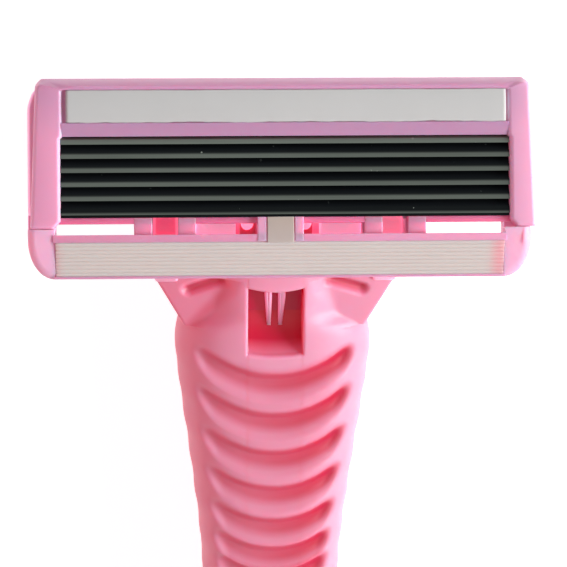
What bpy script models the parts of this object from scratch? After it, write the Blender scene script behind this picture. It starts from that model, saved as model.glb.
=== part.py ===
"""Six-blade razor with a pivoting head, a sprung neck and a handle of two shells.

The razor lies on its back, blades up. +X runs along the blades, +Y points away from the handle,
+Z is up and the table is z = 0. The origin is on the table under the middle of the razor.

Two frames carry the pieces. The head's pieces hang on head_axis, an empty on the hinge, tilted as the
head is. The handle's pieces hang on handle_root, an empty on the table straight below the hinge.

Positions on the head are given on its shaving face: "up" runs from the guard to the cap and "out"
runs from the back of the head to the skin, with out = 0 at the crest of the cap. Positions on the
handle are given as "back", the distance behind the hinge, and as height above the table.
"""

import math

import bmesh
import bpy
import numpy as np

MM = 0.001

# Gaps and overruns
GAP = 0.3 * MM  # between pieces that rest on each other
FINE_GAP = 0.1 * MM  # between a blade and its thin steel support
RUN_GAP = 0.15 * MM  # at each side of a piece that turns or slides
OVERRUN = 1.0 * MM  # how far a cut runs past the piece it opens

# How the razor lies
FACE_TILT = math.radians(25.0)  # shaving face against the table
AXIS_HEIGHT = 12.0 * MM  # hinge above the table

# Head, along the face: a stack of bands from the cap to the guard
TOP_RAIL = 1.0 * MM
STRIP_HEIGHT = 2.6 * MM
CAP_RAIL = 1.2 * MM
BLADE_COUNT = 6
BLADE_PITCH = 1.16 * MM
FIRST_EDGE_DROP = 0.5 * MM  # cap rail to the first cutting edge
LAST_EDGE_MARGIN = 0.3 * MM  # last cutting edge to the sill
SILL = 0.37 * MM
WINDOW_HEIGHT = 1.0 * MM
GUARD_RAIL = 0.42 * MM
GUARD_HEIGHT = 3.0 * MM
GUARD_RIM = 0.2 * MM

# Head, across the face, as half widths and widths
FIELD_HALF = 18.44 * MM  # blades seen between the side arms
ARM_WIDTH_TOP = 1.95 * MM
ARM_FLARE = 0.55 * MM  # how much wider an arm is at its foot
END_WALL = 2.36 * MM  # side wall of the housing, from the blade field out
WINDOW_RELIEF = 0.5 * MM  # how far the outer windows run on past the blades
STRIP_SHOULDER = 0.15 * MM  # how much shorter the strip's pocket is than the blade field, at each end
TAB_HALF = 1.08 * MM
TAB_FRAME = 0.8 * MM
INNER_WINDOW = 5.0 * MM
POST_WIDTH = 1.5 * MM
LUG_SLOT = 2.06 * MM

# Head, through its thickness
COVER_WALL = 1.2 * MM
CAP_CREST_DROP = 0.95 * MM  # how far the cap rounds off towards its back
CAP_DEPTH = 4.8 * MM
RAIL_SLOPE = 0.3 * MM
SKIN_DROP = 0.1 * MM  # how far the arms lie below the crest of the cap
HOUSING_DEPTH = 6.4 * MM
GUARD_FALL = 1.0 * MM  # the guard's slope from its rail to its rim
GUARD_BAR_DEPTH = 4.5 * MM
SILL_DEPTH = 0.8 * MM
SILL_WALL = 1.4 * MM
LEDGE_REACH = 0.5 * MM  # ledge of the sill under the last blade
STRIP_POCKET = 0.9 * MM
STRIP_CROWN = 0.15 * MM
CORNER_RISE = 3.1 * MM
CORNER_RUN = 2.1 * MM
CAP_CORNER_RISE = 1.0 * MM
CAP_CORNER_RUN = 0.55 * MM
ARM_RELIEF = 0.6 * MM  # bevel at the inner foot of each arm

# Blades and their supports
EDGE_DEPTH = 0.6 * MM
BLADE_ANGLE = math.radians(22.0)
BLADE_WIDTH = 0.62 * MM
BLADE_THICKNESS = 0.12 * MM
BEVEL_WIDTH = 0.34 * MM
SUPPORT_THICKNESS = 0.25 * MM
SUPPORT_OVERHANG = 0.7 * MM  # how far the support runs on behind the blade
SUPPORT_REACH = 3.3 * MM  # foot of the support below the cutting edges
SUPPORT_EAR = 0.6 * MM  # length held in each side wall

# Guard of soft fins
FIN_COUNT = 9
FIN_HEIGHT = 0.22 * MM
GUARD_POCKET = 0.9 * MM

# Hinge between head and handle
AXIS_DEPTH = 6.0 * MM  # hinge behind the crest of the cap
EAR_RADIUS = 1.5 * MM
PIN_RADIUS = 0.7 * MM
PIN_GRIP = 1.1 * MM
EYE_RADIUS = 1.35 * MM
HEAD_SWING = math.radians(40.0)

# Cam behind the head and the plunger that presses on it
CAM_REACH = 1.2 * MM  # cam face ahead of the hinge
CAM_DROP = 4.2 * MM  # foot of the cam below the hinge
CAM_SKIRT = 0.85 * MM  # how far the plate runs on below the cam at each side of the notch
CAM_BACKING = 0.8 * MM  # cam plate behind the hinge
PLUNGER_DROP = 2.9 * MM  # plunger's line below the hinge
NOSE_RADIUS = 1.2 * MM
NOSE_HALF = 3.1 * MM
NOSE_LENGTH = 3.6 * MM
DECK_HALF = 2.2 * MM
DECK_THICKNESS = 0.8 * MM
DECK_END = 11.2 * MM
FINGER_WIDTH = 0.6 * MM
FINGER_SLIT = 0.55 * MM
FINGER_END = 9.7 * MM
SEAT_LENGTH = 1.0 * MM

# Plunger spring
SPRING_LENGTH = 6.6 * MM
SPRING_RADIUS = 1.03 * MM  # to the middle of the wire
WIRE_RADIUS = 0.17 * MM
SPRING_TURNS = 7
POINTS_PER_TURN = 10

# Neck and handle
NECK_START = 3.6 * MM
SHOULDER_REACH = 13.2 * MM  # widest place of the handle behind the hinge
SHOULDER_HALF = 8.78 * MM
TAIL_REACH = 129.0 * MM
HANDLE_CREST = 0.9 * MM  # highest line of the handle above the hinge
SHELL_WALL = 1.4 * MM
PARTING_SHARE = 0.5  # where the two shells meet, between the back and the front of the handle
ROUND_SHARE = 0.8  # 1 makes the sections elliptical, less makes them squarer
WINDOW_START = 5.8 * MM
WINDOW_END = 11.8 * MM
WINDOW_RAMP = 1.3 * MM
WINDOW_HALF = 2.43 * MM

# Wings that carry the hinge pins
WING_SWELL = 0.21 * MM  # how much wider a wing is at its knee than at the hinge
WING_KNEE = 5.4 * MM
WING_TIP = 10.6 * MM
WING_ROOT_SHARE = 0.9  # half widths of the wing where it ends, as shares of the shoulder's
WING_TIP_SHARE = 0.706
WING_CORE_SHARE = 0.5
WEB_START = 5.2 * MM
WEB_SLANT = 0.8 * MM
WING_TOP_DROP = 1.5 * MM  # top of a wing below the hinge at its knee
WING_TIP_DROP = 1.9 * MM
WING_THICKNESS = 2.6 * MM
BROW_INNER_SHARE = 0.57  # ends of the slot in each wing, as shares of the shoulder's half width
BROW_OUTER_SHARE = 0.85
BROW_SETBACK = 0.35 * MM  # inner end of the slot behind the front of the web
BROW_RUN = 1.0 * MM  # how much further back its outer end lies
BROW_HALF = 0.4 * MM
BROW_DEPTH = 0.7 * MM

# Thumb grooves
GROOVE_COUNT = 7
FIRST_GROOVE = 14.9 * MM
GROOVE_PITCH = 3.8 * MM
PITCH_LOSS = 0.055 * MM  # taken off the pitch, times the square of the groove's number
GROOVE_DEPTH = 1.1 * MM
GROOVE_SMILE = 2.7 * MM  # how far the ends curl towards the head where the handle is widest
GROOVE_END_SHARE = 0.74
GROOVE_FADE_SHARE = 0.18  # part of a groove's half length over which its ends rise
GROOVE_LIP = 0.35 * MM
GROOVE_FLOOR = 0.6 * MM
GROOVE_RAMP = 2.4 * MM

# Finger ridges on the back shell
RIDGE_COUNT = 6
RIDGE_DEPTH = 0.35 * MM

# Outline of the neck: place from its front to the shoulder, half width, front height and back height
NECK_SHARES = (
    (0.0000, 0.604, 0.915, 0.400),
    (0.3004, 0.625, 0.922, 0.260),
    (0.5003, 0.650, 0.926, 0.170),
    (0.5734, 0.730, 0.928, 0.125),
    (0.6453, 0.870, 0.930, 0.085),
    (0.7184, 0.940, 0.932, 0.050),
    (0.8334, 0.978, 0.935, 0.012),
)
# Outline of the grip: the same from the shoulder to the tail
GRIP_SHARES = (
    (0.0000, 1.000, 0.938, -0.022),
    (0.0242, 0.970, 0.950, -0.031),
    (0.0506, 0.930, 0.957, -0.023),
    (0.0854, 0.870, 0.969, 0.016),
    (0.1212, 0.812, 0.981, 0.070),
    (0.1561, 0.760, 0.992, 0.116),
    (0.1940, 0.725, 1.000, 0.155),
    (0.3178, 0.680, 0.984, 0.209),
    (0.5340, 0.655, 0.868, 0.178),
    (0.7501, 0.695, 0.729, 0.047),
    (0.8536, 0.723, 0.674, -0.031),
    (0.9396, 0.718, 0.643, -0.031),
    (0.9828, 0.569, 0.589, 0.047),
    (1.0000, 0.300, 0.465, 0.186),
)
# Rings of the neck, between its front and the first ring that follows a groove
NECK_RING_SHARES = (0.0, 0.35, 0.58, 0.625, 0.667, 0.71, 0.75, 0.795, 0.836, 0.903, 0.97)
RING_POINTS = 20
PLAIN_ROWS = 22
RIDGE_ROWS = 4  # rings along each finger ridge
TAIL_EDGE = 1.2 * MM  # last ring before the end of the tail

# Facets of round shapes
ARC_STEPS = 6
PIN_SIDES = 20
SHARP_ANGLE = math.radians(40.0)

# Levels up the face, measured from the middle of the blades
FIELD_HEIGHT = FIRST_EDGE_DROP + (BLADE_COUNT - 1) * BLADE_PITCH + LAST_EDGE_MARGIN
FIELD_TOP = FIELD_HEIGHT / 2
FIELD_BOTTOM = -FIELD_HEIGHT / 2
STRIP_BOTTOM = FIELD_TOP + CAP_RAIL
STRIP_TOP = STRIP_BOTTOM + STRIP_HEIGHT
COVER_TOP = STRIP_TOP + TOP_RAIL
WINDOW_TOP = FIELD_BOTTOM - SILL
WINDOW_BOTTOM = WINDOW_TOP - WINDOW_HEIGHT
GUARD_TOP = WINDOW_BOTTOM - GUARD_RAIL
GUARD_BOTTOM = GUARD_TOP - GUARD_HEIGHT
HEAD_BOTTOM = GUARD_BOTTOM - GUARD_RIM
ARM_FOOT = WINDOW_BOTTOM + WINDOW_HEIGHT / 2
AXIS_UP = (WINDOW_TOP + WINDOW_BOTTOM) / 2

# Levels across the face
HOUSING_HALF = FIELD_HALF + END_WALL
ARM_TOP_HALF = FIELD_HALF + ARM_WIDTH_TOP
ARM_FOOT_HALF = ARM_TOP_HALF + ARM_FLARE
TAB_POST_HALF = TAB_HALF + TAB_FRAME
INNER_POST = TAB_POST_HALF + INNER_WINDOW
LUG_START = INNER_POST + POST_WIDTH
LUG_END = LUG_START + LUG_SLOT

# Heights on the handle
HANDLE_RISE = AXIS_HEIGHT + HANDLE_CREST
PLUNGER_HEIGHT = AXIS_HEIGHT - PLUNGER_DROP
NOSE_CENTRE = NOSE_RADIUS - CAM_REACH + RUN_GAP
SPRING_HEIGHT = PLUNGER_HEIGHT - NOSE_RADIUS / 2 - DECK_THICKNESS - SPRING_RADIUS
SPRING_OUTER = SPRING_RADIUS + WIRE_RADIUS

# Depths on the head and levels on the handle that several pieces share
LIP_DEPTH = EDGE_DEPTH - 2 * FINE_GAP
POCKET_HALF = FIELD_HALF - STRIP_SHOULDER
EAR_HALF = FIELD_HALF + SUPPORT_EAR
ARM_INNER = LUG_START + RUN_GAP
ARM_OUTER = LUG_END - RUN_GAP
NECK_LENGTH = SHOULDER_REACH - NECK_START
GRIP_LENGTH = TAIL_REACH - SHOULDER_REACH
NOTCH_HALF = NOSE_HALF + GAP
WING_HALF = ARM_OUTER + WING_SWELL
WING_ROOT_HALF = WING_ROOT_SHARE * SHOULDER_HALF
WING_TIP_HALF = WING_TIP_SHARE * SHOULDER_HALF
WING_CORE_HALF = WING_CORE_SHARE * SHOULDER_HALF


def clear_scene():
    """Removes whatever the file holds before the model is made."""
    for item in list(bpy.data.objects):
        bpy.data.objects.remove(item, do_unlink=True)


def material(name, colour, roughness, metallic=0.0):
    """A Principled material of one colour."""
    finish = bpy.data.materials.new(name)
    finish.use_nodes = True
    shader = finish.node_tree.nodes["Principled BSDF"]
    shader.inputs["Base Color"].default_value = (*colour, 1.0)
    shader.inputs["Roughness"].default_value = roughness
    shader.inputs["Metallic"].default_value = metallic
    return finish


def empty(name, location, tilt=0.0):
    """A frame that pieces hang on, tilted about X."""
    frame = bpy.data.objects.new(name, None)
    frame.location = location
    frame.rotation_euler = (tilt, 0.0, 0.0)
    bpy.context.scene.collection.objects.link(frame)
    return frame


def piece(name, mesh, finish, frame):
    """A named sub-part hung on a frame."""
    item = bpy.data.objects.new(name, mesh)
    item.data.materials.append(finish)
    item.parent = frame
    bpy.context.scene.collection.objects.link(item)
    return item


def smooth(item):
    """Shades a round piece smooth and keeps its real corners sharp."""
    item.data.shade_smooth()
    item.data.set_sharp_from_angle(angle=SHARP_ANGLE)


def tool(name, mesh, frame):
    """A body that shapes a piece and is not part of the model."""
    body = bpy.data.objects.new(name, mesh)
    body.parent = frame
    body.hide_render = True
    body.display_type = "WIRE"
    bpy.context.scene.collection.objects.link(body)
    return body


def combine(target, body, operation):
    """Cuts a body out of a piece, joins it on, or keeps only what both share."""
    step = target.modifiers.new(operation.title(), "BOOLEAN")
    step.operation = operation
    step.object = body
    step.solver = "EXACT"


def shape_with(target, mesh, operation):
    """Shapes a piece with a mesh in the piece's own frame."""
    combine(target, tool(f"{target.name}_tool", mesh, target.parent), operation)


def solid(points, faces):
    """A closed mesh with its faces turned outwards."""
    shape = bmesh.new()
    corners = [shape.verts.new(point) for point in points]
    for face in faces:
        shape.faces.new([corners[index] for index in face])
    bmesh.ops.recalc_face_normals(shape, faces=shape.faces)
    mesh = bpy.data.meshes.new("solid")
    shape.to_mesh(mesh)
    shape.free()
    return mesh


def prism_parts(outline, low, high, along):
    """Points and faces of an outline carried from low to high along axis 0 (X), 1 (Y) or 2 (Z)."""
    count = len(outline)
    points = []
    for level in (low, high):
        for first, second in outline:
            point = [first, second]
            point.insert(along, level)
            points.append(tuple(point))
    faces = [tuple(range(count)), tuple(range(count, 2 * count))]
    for index in range(count):
        following = (index + 1) % count
        faces.append((index, following, count + following, count + index))
    return points, faces


def prisms(*parts):
    """One mesh of several separate prisms, each given as (outline, low, high, along)."""
    points, faces = [], []
    for part in parts:
        new_points, new_faces = prism_parts(*part)
        faces += [tuple(index + len(points) for index in face) for face in new_faces]
        points += new_points
    return solid(points, faces)


def rectangle(first_low, first_high, second_low, second_high):
    """The outline of a rectangle."""
    return [
        (first_low, second_low),
        (first_high, second_low),
        (first_high, second_high),
        (first_low, second_high),
    ]


def arc(centre, radii, start, end, steps=ARC_STEPS):
    """Points of an elliptical arc between two angles in degrees."""
    angles = np.radians(np.linspace(start, end, steps + 1))
    return [
        (centre[0] + radii[0] * math.cos(angle), centre[1] + radii[1] * math.sin(angle))
        for angle in angles
    ]


def on_head(outline):
    """Turns (up, out) on the shaving face into the head frame, whose origin is on the hinge."""
    return [(up - AXIS_UP, out + AXIS_DEPTH) for up, out in outline]


def across_head(outline):
    """Turns (across, up) on the shaving face into the head frame."""
    return [(across, up - AXIS_UP) for across, up in outline]


def head_block(up_low, up_high, out_low, out_high):
    """A rectangle on the head, in the head frame."""
    return on_head(rectangle(up_low, up_high, out_low, out_high))


def on_handle(outline):
    """Turns (back, height) into the handle frame, whose Y points to the head."""
    return [(-back, height) for back, height in outline]


def at_hinge(ahead, above):
    """A point given level with the table from the hinge, turned into the head frame."""
    cosine, sine = math.cos(FACE_TILT), math.sin(FACE_TILT)
    return (ahead * cosine - above * sine, ahead * sine + above * cosine)


def mirrored(outline):
    """The outline on the other side of X = 0."""
    return [(-across, other) for across, other in outline]


def cover_profile():
    """Side view of the cover frame: side arms below, cap wrapped over the top of the head."""
    inner = COVER_TOP - COVER_WALL / 2
    return [
        (ARM_FOOT, -SKIN_DROP),
        (FIELD_TOP, -SKIN_DROP / 2),
        (STRIP_BOTTOM, 0.0),
        (STRIP_TOP + TOP_RAIL / 4, -CAP_CREST_DROP / 4),
        (COVER_TOP - TOP_RAIL / 4, -CAP_CREST_DROP),
        (COVER_TOP, -CAP_CREST_DROP * 2),
        (COVER_TOP, COVER_WALL / 2 - CAP_DEPTH),
        (COVER_TOP - COVER_WALL / 4, -CAP_DEPTH),
        (inner, -CAP_DEPTH),
        (inner, -COVER_WALL - CAP_CREST_DROP),
        (STRIP_BOTTOM, -COVER_WALL - STRIP_POCKET / 2),
        (FIELD_TOP, -COVER_WALL),
        (ARM_FOOT, -COVER_WALL),
    ]


def cover_plan():
    """Face view of the cover frame with rounded top corners and arms that widen downwards."""
    centre = (ARM_TOP_HALF - CAP_CORNER_RUN, COVER_TOP - CAP_CORNER_RISE)
    right = [
        (ARM_FOOT_HALF, ARM_FOOT),
        *arc(centre, (CAP_CORNER_RUN, CAP_CORNER_RISE), 0, 90),
    ]
    return right + mirrored(right)[::-1]


def both_sides(outline, inner, outer):
    """The same prism along X at both ends of the head."""
    return prisms((outline, inner, outer, 0), (outline, -outer, -inner, 0))


def build_cover_frame(frame, finish):
    """The cap frame: rails above the blades, a pocket for the strip and two side arms."""
    wide = ARM_FOOT_HALF + OVERRUN
    part = piece("cover_frame", prisms((on_head(cover_profile()), -wide, wide, 0)), finish, frame)
    back = AXIS_DEPTH - CAP_DEPTH - OVERRUN
    face = AXIS_DEPTH + OVERRUN
    shape_with(part, prisms((across_head(cover_plan()), back, face, 2)), "INTERSECT")
    rail_foot = -RAIL_SLOPE - LIP_DEPTH / 2
    field = [
        (ARM_FOOT - OVERRUN, OVERRUN),
        (STRIP_BOTTOM, OVERRUN),
        (STRIP_BOTTOM, 0.0),
        (FIELD_TOP, -RAIL_SLOPE),
        (FIELD_TOP, rail_foot),
        (STRIP_BOTTOM - GAP, rail_foot - LIP_DEPTH),
        (STRIP_BOTTOM - GAP, -COVER_WALL - OVERRUN),
        (ARM_FOOT - OVERRUN, -COVER_WALL - OVERRUN),
    ]
    pocket = head_block(STRIP_BOTTOM, STRIP_TOP, -STRIP_POCKET, OVERRUN)
    undercut = head_block(
        FIELD_BOTTOM - GAP, STRIP_BOTTOM - GAP, -COVER_WALL - OVERRUN, -LIP_DEPTH
    )
    bevel = [
        (FIELD_HALF - OVERRUN, ARM_FOOT - OVERRUN),
        (FIELD_HALF + ARM_RELIEF, ARM_FOOT - OVERRUN),
        (FIELD_HALF + ARM_RELIEF, ARM_FOOT),
        (FIELD_HALF, ARM_FOOT + ARM_RELIEF),
        (FIELD_HALF - OVERRUN, ARM_FOOT + ARM_RELIEF),
    ]
    shape_with(part, prisms((on_head(field), -FIELD_HALF, FIELD_HALF, 0)), "DIFFERENCE")
    shape_with(part, prisms((pocket, -POCKET_HALF, POCKET_HALF, 0)), "DIFFERENCE")
    shape_with(part, both_sides(undercut, FIELD_HALF - OVERRUN, EAR_HALF + GAP), "DIFFERENCE")
    sides = [(across_head(side), back, face, 2) for side in (bevel, mirrored(bevel))]
    shape_with(part, prisms(*sides), "DIFFERENCE")


def build_strip(frame, finish):
    """The lubricating strip, a low crowned bar in the cap's pocket."""
    low, high = STRIP_BOTTOM + GAP / 3, STRIP_TOP - GAP / 3
    middle = (low + high) / 2
    floor = -STRIP_POCKET + GAP
    outline = [
        (low, floor),
        (high, floor),
        (high, -CAP_CREST_DROP / 4),
        ((middle + high) / 2, STRIP_CROWN / 2),
        (middle, STRIP_CROWN),
        ((middle + low) / 2, STRIP_CROWN),
        (low, STRIP_CROWN / 2),
    ]
    half = POCKET_HALF - GAP / 2
    part = piece("lubricating_strip", prisms((on_head(outline), -half, half, 0)), finish, frame)
    smooth(part)


def guard_out(up):
    """How far out the guard's slope lies at a level of the face."""
    share = (GUARD_TOP - up) / (GUARD_TOP - HEAD_BOTTOM)
    return -LIP_DEPTH - GUARD_FALL * share


def housing_profile():
    """Side view of the housing at its ends, with its step under the cover's arms."""
    arm_seat = -COVER_WALL - GAP
    step = ARM_FOOT - GAP
    top = COVER_TOP - COVER_WALL / 2 - GAP
    top_seat = -COVER_WALL - CAP_CREST_DROP - GAP
    back = -HOUSING_DEPTH
    return [
        (HEAD_BOTTOM, guard_out(HEAD_BOTTOM)),
        (GUARD_TOP, guard_out(GUARD_TOP)),
        (step, -SKIN_DROP * 2),
        (step, arm_seat),
        (FIELD_TOP, arm_seat),
        (STRIP_BOTTOM, -COVER_WALL - STRIP_POCKET / 2 - GAP),
        (top, top_seat),
        (top, -CAP_DEPTH),
        (top - TOP_RAIL, back),
        (AXIS_UP, back),
        (GUARD_TOP, -GUARD_BAR_DEPTH - EAR_RADIUS / 2),
        (HEAD_BOTTOM, -GUARD_BAR_DEPTH + GUARD_FALL),
    ]


def housing_plan():
    """Face view of the housing with its big round lower corners."""
    right = [
        *arc((HOUSING_HALF - CORNER_RUN, HEAD_BOTTOM + CORNER_RISE), (CORNER_RUN, CORNER_RISE), -90, 0),
        (HOUSING_HALF, STRIP_BOTTOM),
        (HOUSING_HALF - CAP_CORNER_RUN, COVER_TOP),
    ]
    return right + mirrored(right)[::-1]


def ear_outline():
    """A post of the guard carried back to a round ear on the hinge, with the rib under the blades."""
    rib_front = -EDGE_DEPTH - SUPPORT_REACH - GAP
    cap_seat = STRIP_BOTTOM + GAP
    ear = arc((AXIS_UP, -AXIS_DEPTH), (EAR_RADIUS, EAR_RADIUS), 180, 300, 2 * ARC_STEPS)
    return [
        (FIELD_BOTTOM, -SILL_DEPTH),
        (GUARD_TOP, -SILL_DEPTH),
        (AXIS_UP - EAR_RADIUS, -GUARD_BAR_DEPTH),
        *ear,
        (cap_seat, -HOUSING_DEPTH),
        (cap_seat, rib_front),
        (FIELD_BOTTOM, rib_front),
    ]


def cam_outline():
    """The plate behind the blades and the wedge on it that the plunger presses."""
    face_top = at_hinge(CAM_REACH, -CAM_BACKING)
    face_foot = at_hinge(CAM_REACH, -CAM_DROP)
    plate_top = STRIP_BOTTOM - AXIS_UP - SUPPORT_REACH
    front = AXIS_DEPTH - EDGE_DEPTH - SUPPORT_REACH - GAP
    return [
        (-CAM_SKIRT, front),
        (-CAM_SKIRT, -CAM_BACKING),
        (face_top[0], -CAM_BACKING),
        face_foot,
        (face_foot[0] + GAP, face_foot[1]),
        (plate_top, -CAM_BACKING),
        (plate_top, front),
    ]


def blade_edges():
    """Levels of the cutting edges up the face, first blade nearest the cap."""
    return [FIELD_TOP - FIRST_EDGE_DROP - BLADE_PITCH * index for index in range(BLADE_COUNT)]


def leg_span(edge):
    """The two levels up the face between which a support's leg stands."""
    high = edge + (BLADE_WIDTH + SUPPORT_OVERHANG) * math.cos(BLADE_ANGLE)
    return high - SUPPORT_THICKNESS, high


def build_housing(frame, finish):
    """The moulded housing: end walls, guard bar, posts, hinge ears, ribs, cap bar and cam."""
    wide = HOUSING_HALF + OVERRUN
    part = piece(
        "cartridge_housing",
        prisms((on_head(housing_profile()), -wide, wide, 0)),
        finish,
        frame,
    )
    deep = AXIS_DEPTH - HOUSING_DEPTH - OVERRUN
    shape_with(
        part, prisms((across_head(housing_plan()), deep, AXIS_DEPTH + OVERRUN, 2)), "INTERSECT"
    )
    below_bar = head_block(
        HEAD_BOTTOM - OVERRUN, WINDOW_BOTTOM + GAP, -HOUSING_DEPTH - OVERRUN, -GUARD_BAR_DEPTH
    )
    well = head_block(WINDOW_BOTTOM, COVER_TOP, -HOUSING_DEPTH - OVERRUN, OVERRUN)
    for cut in (well, below_bar):
        shape_with(part, prisms((cut, -FIELD_HALF, FIELD_HALF, 0)), "DIFFERENCE")

    reach = FIELD_HALF + OVERRUN / 2
    sill_back = -SILL_DEPTH - SILL_WALL
    sill = on_head(
        [
            (WINDOW_TOP, -SILL_DEPTH),
            (FIELD_BOTTOM, -SILL_DEPTH),
            (FIELD_BOTTOM, sill_back + SILL_WALL / 2),
            (FIELD_BOTTOM + LEDGE_REACH, sill_back + SILL_WALL / 2),
            (FIELD_BOTTOM + LEDGE_REACH, sill_back),
            (WINDOW_TOP, sill_back),
        ]
    )
    cap_bar = head_block(
        STRIP_BOTTOM,
        COVER_TOP - COVER_WALL / 2 - GAP,
        -HOUSING_DEPTH,
        -COVER_WALL - CAP_CREST_DROP - GAP,
    )
    shape_with(part, prisms((sill, -reach, reach, 0)), "UNION")
    shape_with(part, prisms((cap_bar, -reach, reach, 0)), "UNION")
    lug_gap = head_block(WINDOW_BOTTOM, FIELD_BOTTOM + OVERRUN, sill_back - OVERRUN, OVERRUN)
    shape_with(part, both_sides(lug_gap, LUG_START, LUG_END), "DIFFERENCE")
    ears = on_head(ear_outline())
    for start in (INNER_POST, LUG_END):
        for low, high in ((start, start + POST_WIDTH), (-start - POST_WIDTH, -start)):
            shape_with(part, prisms((ears, low, high, 0)), "UNION")
    tab_post = head_block(GUARD_TOP - GAP, FIELD_BOTTOM, -SILL_DEPTH - SILL_WALL, -SILL_DEPTH)
    shape_with(part, prisms((tab_post, -TAB_POST_HALF, TAB_POST_HALF, 0)), "UNION")
    plate = INNER_POST + POST_WIDTH / 2
    shape_with(part, prisms((cam_outline(), -plate, plate, 0)), "UNION")
    notch = rectangle(-CAM_SKIRT - OVERRUN, 0.0, -CAM_BACKING - OVERRUN, AXIS_DEPTH / 2)
    shape_with(part, prisms((notch, -NOTCH_HALF, NOTCH_HALF, 0)), "DIFFERENCE")

    pocket_floor = guard_out(GUARD_BOTTOM) - GUARD_POCKET
    pocket = head_block(GUARD_BOTTOM, GUARD_TOP, pocket_floor, OVERRUN)
    shape_with(part, prisms((pocket, -FIELD_HALF, FIELD_HALF, 0)), "DIFFERENCE")
    tab_floor = -SILL_DEPTH - FIN_HEIGHT - GAP
    tab_groove = head_block(GUARD_TOP - GAP, FIELD_BOTTOM + OVERRUN, tab_floor, OVERRUN)
    tab_side = TAB_HALF + GAP / 3
    shape_with(part, prisms((tab_groove, -tab_side, tab_side, 0)), "DIFFERENCE")
    arm_seat = head_block(ARM_FOOT - GAP, FIELD_TOP, -COVER_WALL - GAP, OVERRUN)
    shape_with(part, both_sides(arm_seat, FIELD_HALF - GAP, FIELD_HALF + OVERRUN), "DIFFERENCE")
    window = head_block(WINDOW_BOTTOM, WINDOW_TOP, -HOUSING_DEPTH - OVERRUN, OVERRUN)
    window_end = FIELD_HALF + WINDOW_RELIEF
    shape_with(part, both_sides(window, FIELD_HALF - OVERRUN, window_end), "DIFFERENCE")
    bore_radius = PIN_RADIUS + RUN_GAP / 3
    bore = arc((0.0, 0.0), (bore_radius, bore_radius), 0, 360, PIN_SIDES)[:-1]
    bore_end = LUG_END + PIN_GRIP + RUN_GAP
    shape_with(part, both_sides(bore, ARM_OUTER, bore_end), "DIFFERENCE")
    shape_with(part, support_slots(), "DIFFERENCE")


def support_slots():
    """The comb of slots in the end walls that hold the blade supports by their ears."""
    slots = []
    end = EAR_HALF + FINE_GAP
    for edge in blade_edges():
        low, high = leg_span(edge)
        slot = head_block(
            low - FINE_GAP, high + FINE_GAP, -EDGE_DEPTH - SUPPORT_REACH - FINE_GAP, OVERRUN
        )
        slots.append((slot, FIELD_HALF - OVERRUN, end, 0))
        slots.append((slot, -end, OVERRUN - FIELD_HALF, 0))
    return prisms(*slots)


def build_blade(frame, finish, index, edge):
    """A blade strip that falls away from its cutting edge, sharpened on both sides."""
    cosine, sine = math.cos(BLADE_ANGLE), math.sin(BLADE_ANGLE)
    half = BLADE_THICKNESS / 2

    def place(along, above):
        return (
            edge + along * cosine + above * sine,
            -EDGE_DEPTH - along * sine + above * cosine,
        )

    outline = [
        place(0.0, 0.0),
        place(BEVEL_WIDTH, half),
        place(BLADE_WIDTH, half),
        place(BLADE_WIDTH, -half),
        place(BEVEL_WIDTH, -half),
    ]
    half_length = EAR_HALF - FINE_GAP
    piece(
        f"blade_{index}",
        prisms((on_head(outline), -half_length, half_length, 0)),
        finish,
        frame,
    )


def build_support(frame, finish, index, edge):
    """The bent steel support below a blade: a sloped seat and a leg with an ear at each end."""
    cosine, sine = math.cos(BLADE_ANGLE), math.sin(BLADE_ANGLE)
    low, high = leg_span(edge)
    seat_top = -BLADE_THICKNESS / 2 - FINE_GAP
    start = BEVEL_WIDTH + FINE_GAP

    def place(along, above):
        return (
            edge + along * cosine + above * sine,
            -EDGE_DEPTH - along * sine + above * cosine,
        )

    def seat_out(up, above):
        return -EDGE_DEPTH - (up - edge) * math.tan(BLADE_ANGLE) + above / cosine

    foot = -EDGE_DEPTH - SUPPORT_REACH
    outline = [
        place(start, seat_top),
        (high, seat_out(high, seat_top)),
        (high, foot),
        (low, foot),
        (low, seat_out(low, seat_top - SUPPORT_THICKNESS)),
        place(start, seat_top - SUPPORT_THICKNESS),
    ]
    half_length = EAR_HALF - FINE_GAP
    part = piece(
        f"blade_support_{index}",
        prisms((on_head(outline), -half_length, half_length, 0)),
        finish,
        frame,
    )
    ear_top = -COVER_WALL - GAP * 2
    leg = head_block(low, high, foot, min(ear_top, seat_out(low, seat_top) - FINE_GAP))
    shape_with(part, prisms((leg, -EAR_HALF, EAR_HALF, 0)), "UNION")


def build_guard(frame, finish):
    """The soft guard: fins along the head and a tab that runs up between the posts."""
    low, high = GUARD_BOTTOM + GAP / 3, GUARD_TOP - GAP / 3
    base = guard_out(GUARD_BOTTOM) - GUARD_POCKET + GAP
    pitch = (high - low) / FIN_COUNT
    outline = [(low, base)]
    for index in range(FIN_COUNT):
        start = low + pitch * index
        crest = start + pitch / 2
        outline.append((start, guard_out(start) - FIN_HEIGHT))
        outline.append((crest, guard_out(crest)))
    outline.append((high, guard_out(high) - FIN_HEIGHT))
    outline.append((high, base))
    half = FIELD_HALF - GAP / 3
    part = piece("guard_fins", prisms((on_head(outline), -half, half, 0)), finish, frame)
    tab = head_block(
        GUARD_TOP - GUARD_RAIL, FIELD_BOTTOM, -SILL_DEPTH - FIN_HEIGHT, -SILL_DEPTH + FIN_HEIGHT / 2
    )
    shape_with(part, prisms((tab, -TAB_HALF, TAB_HALF, 0)), "UNION")


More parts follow.
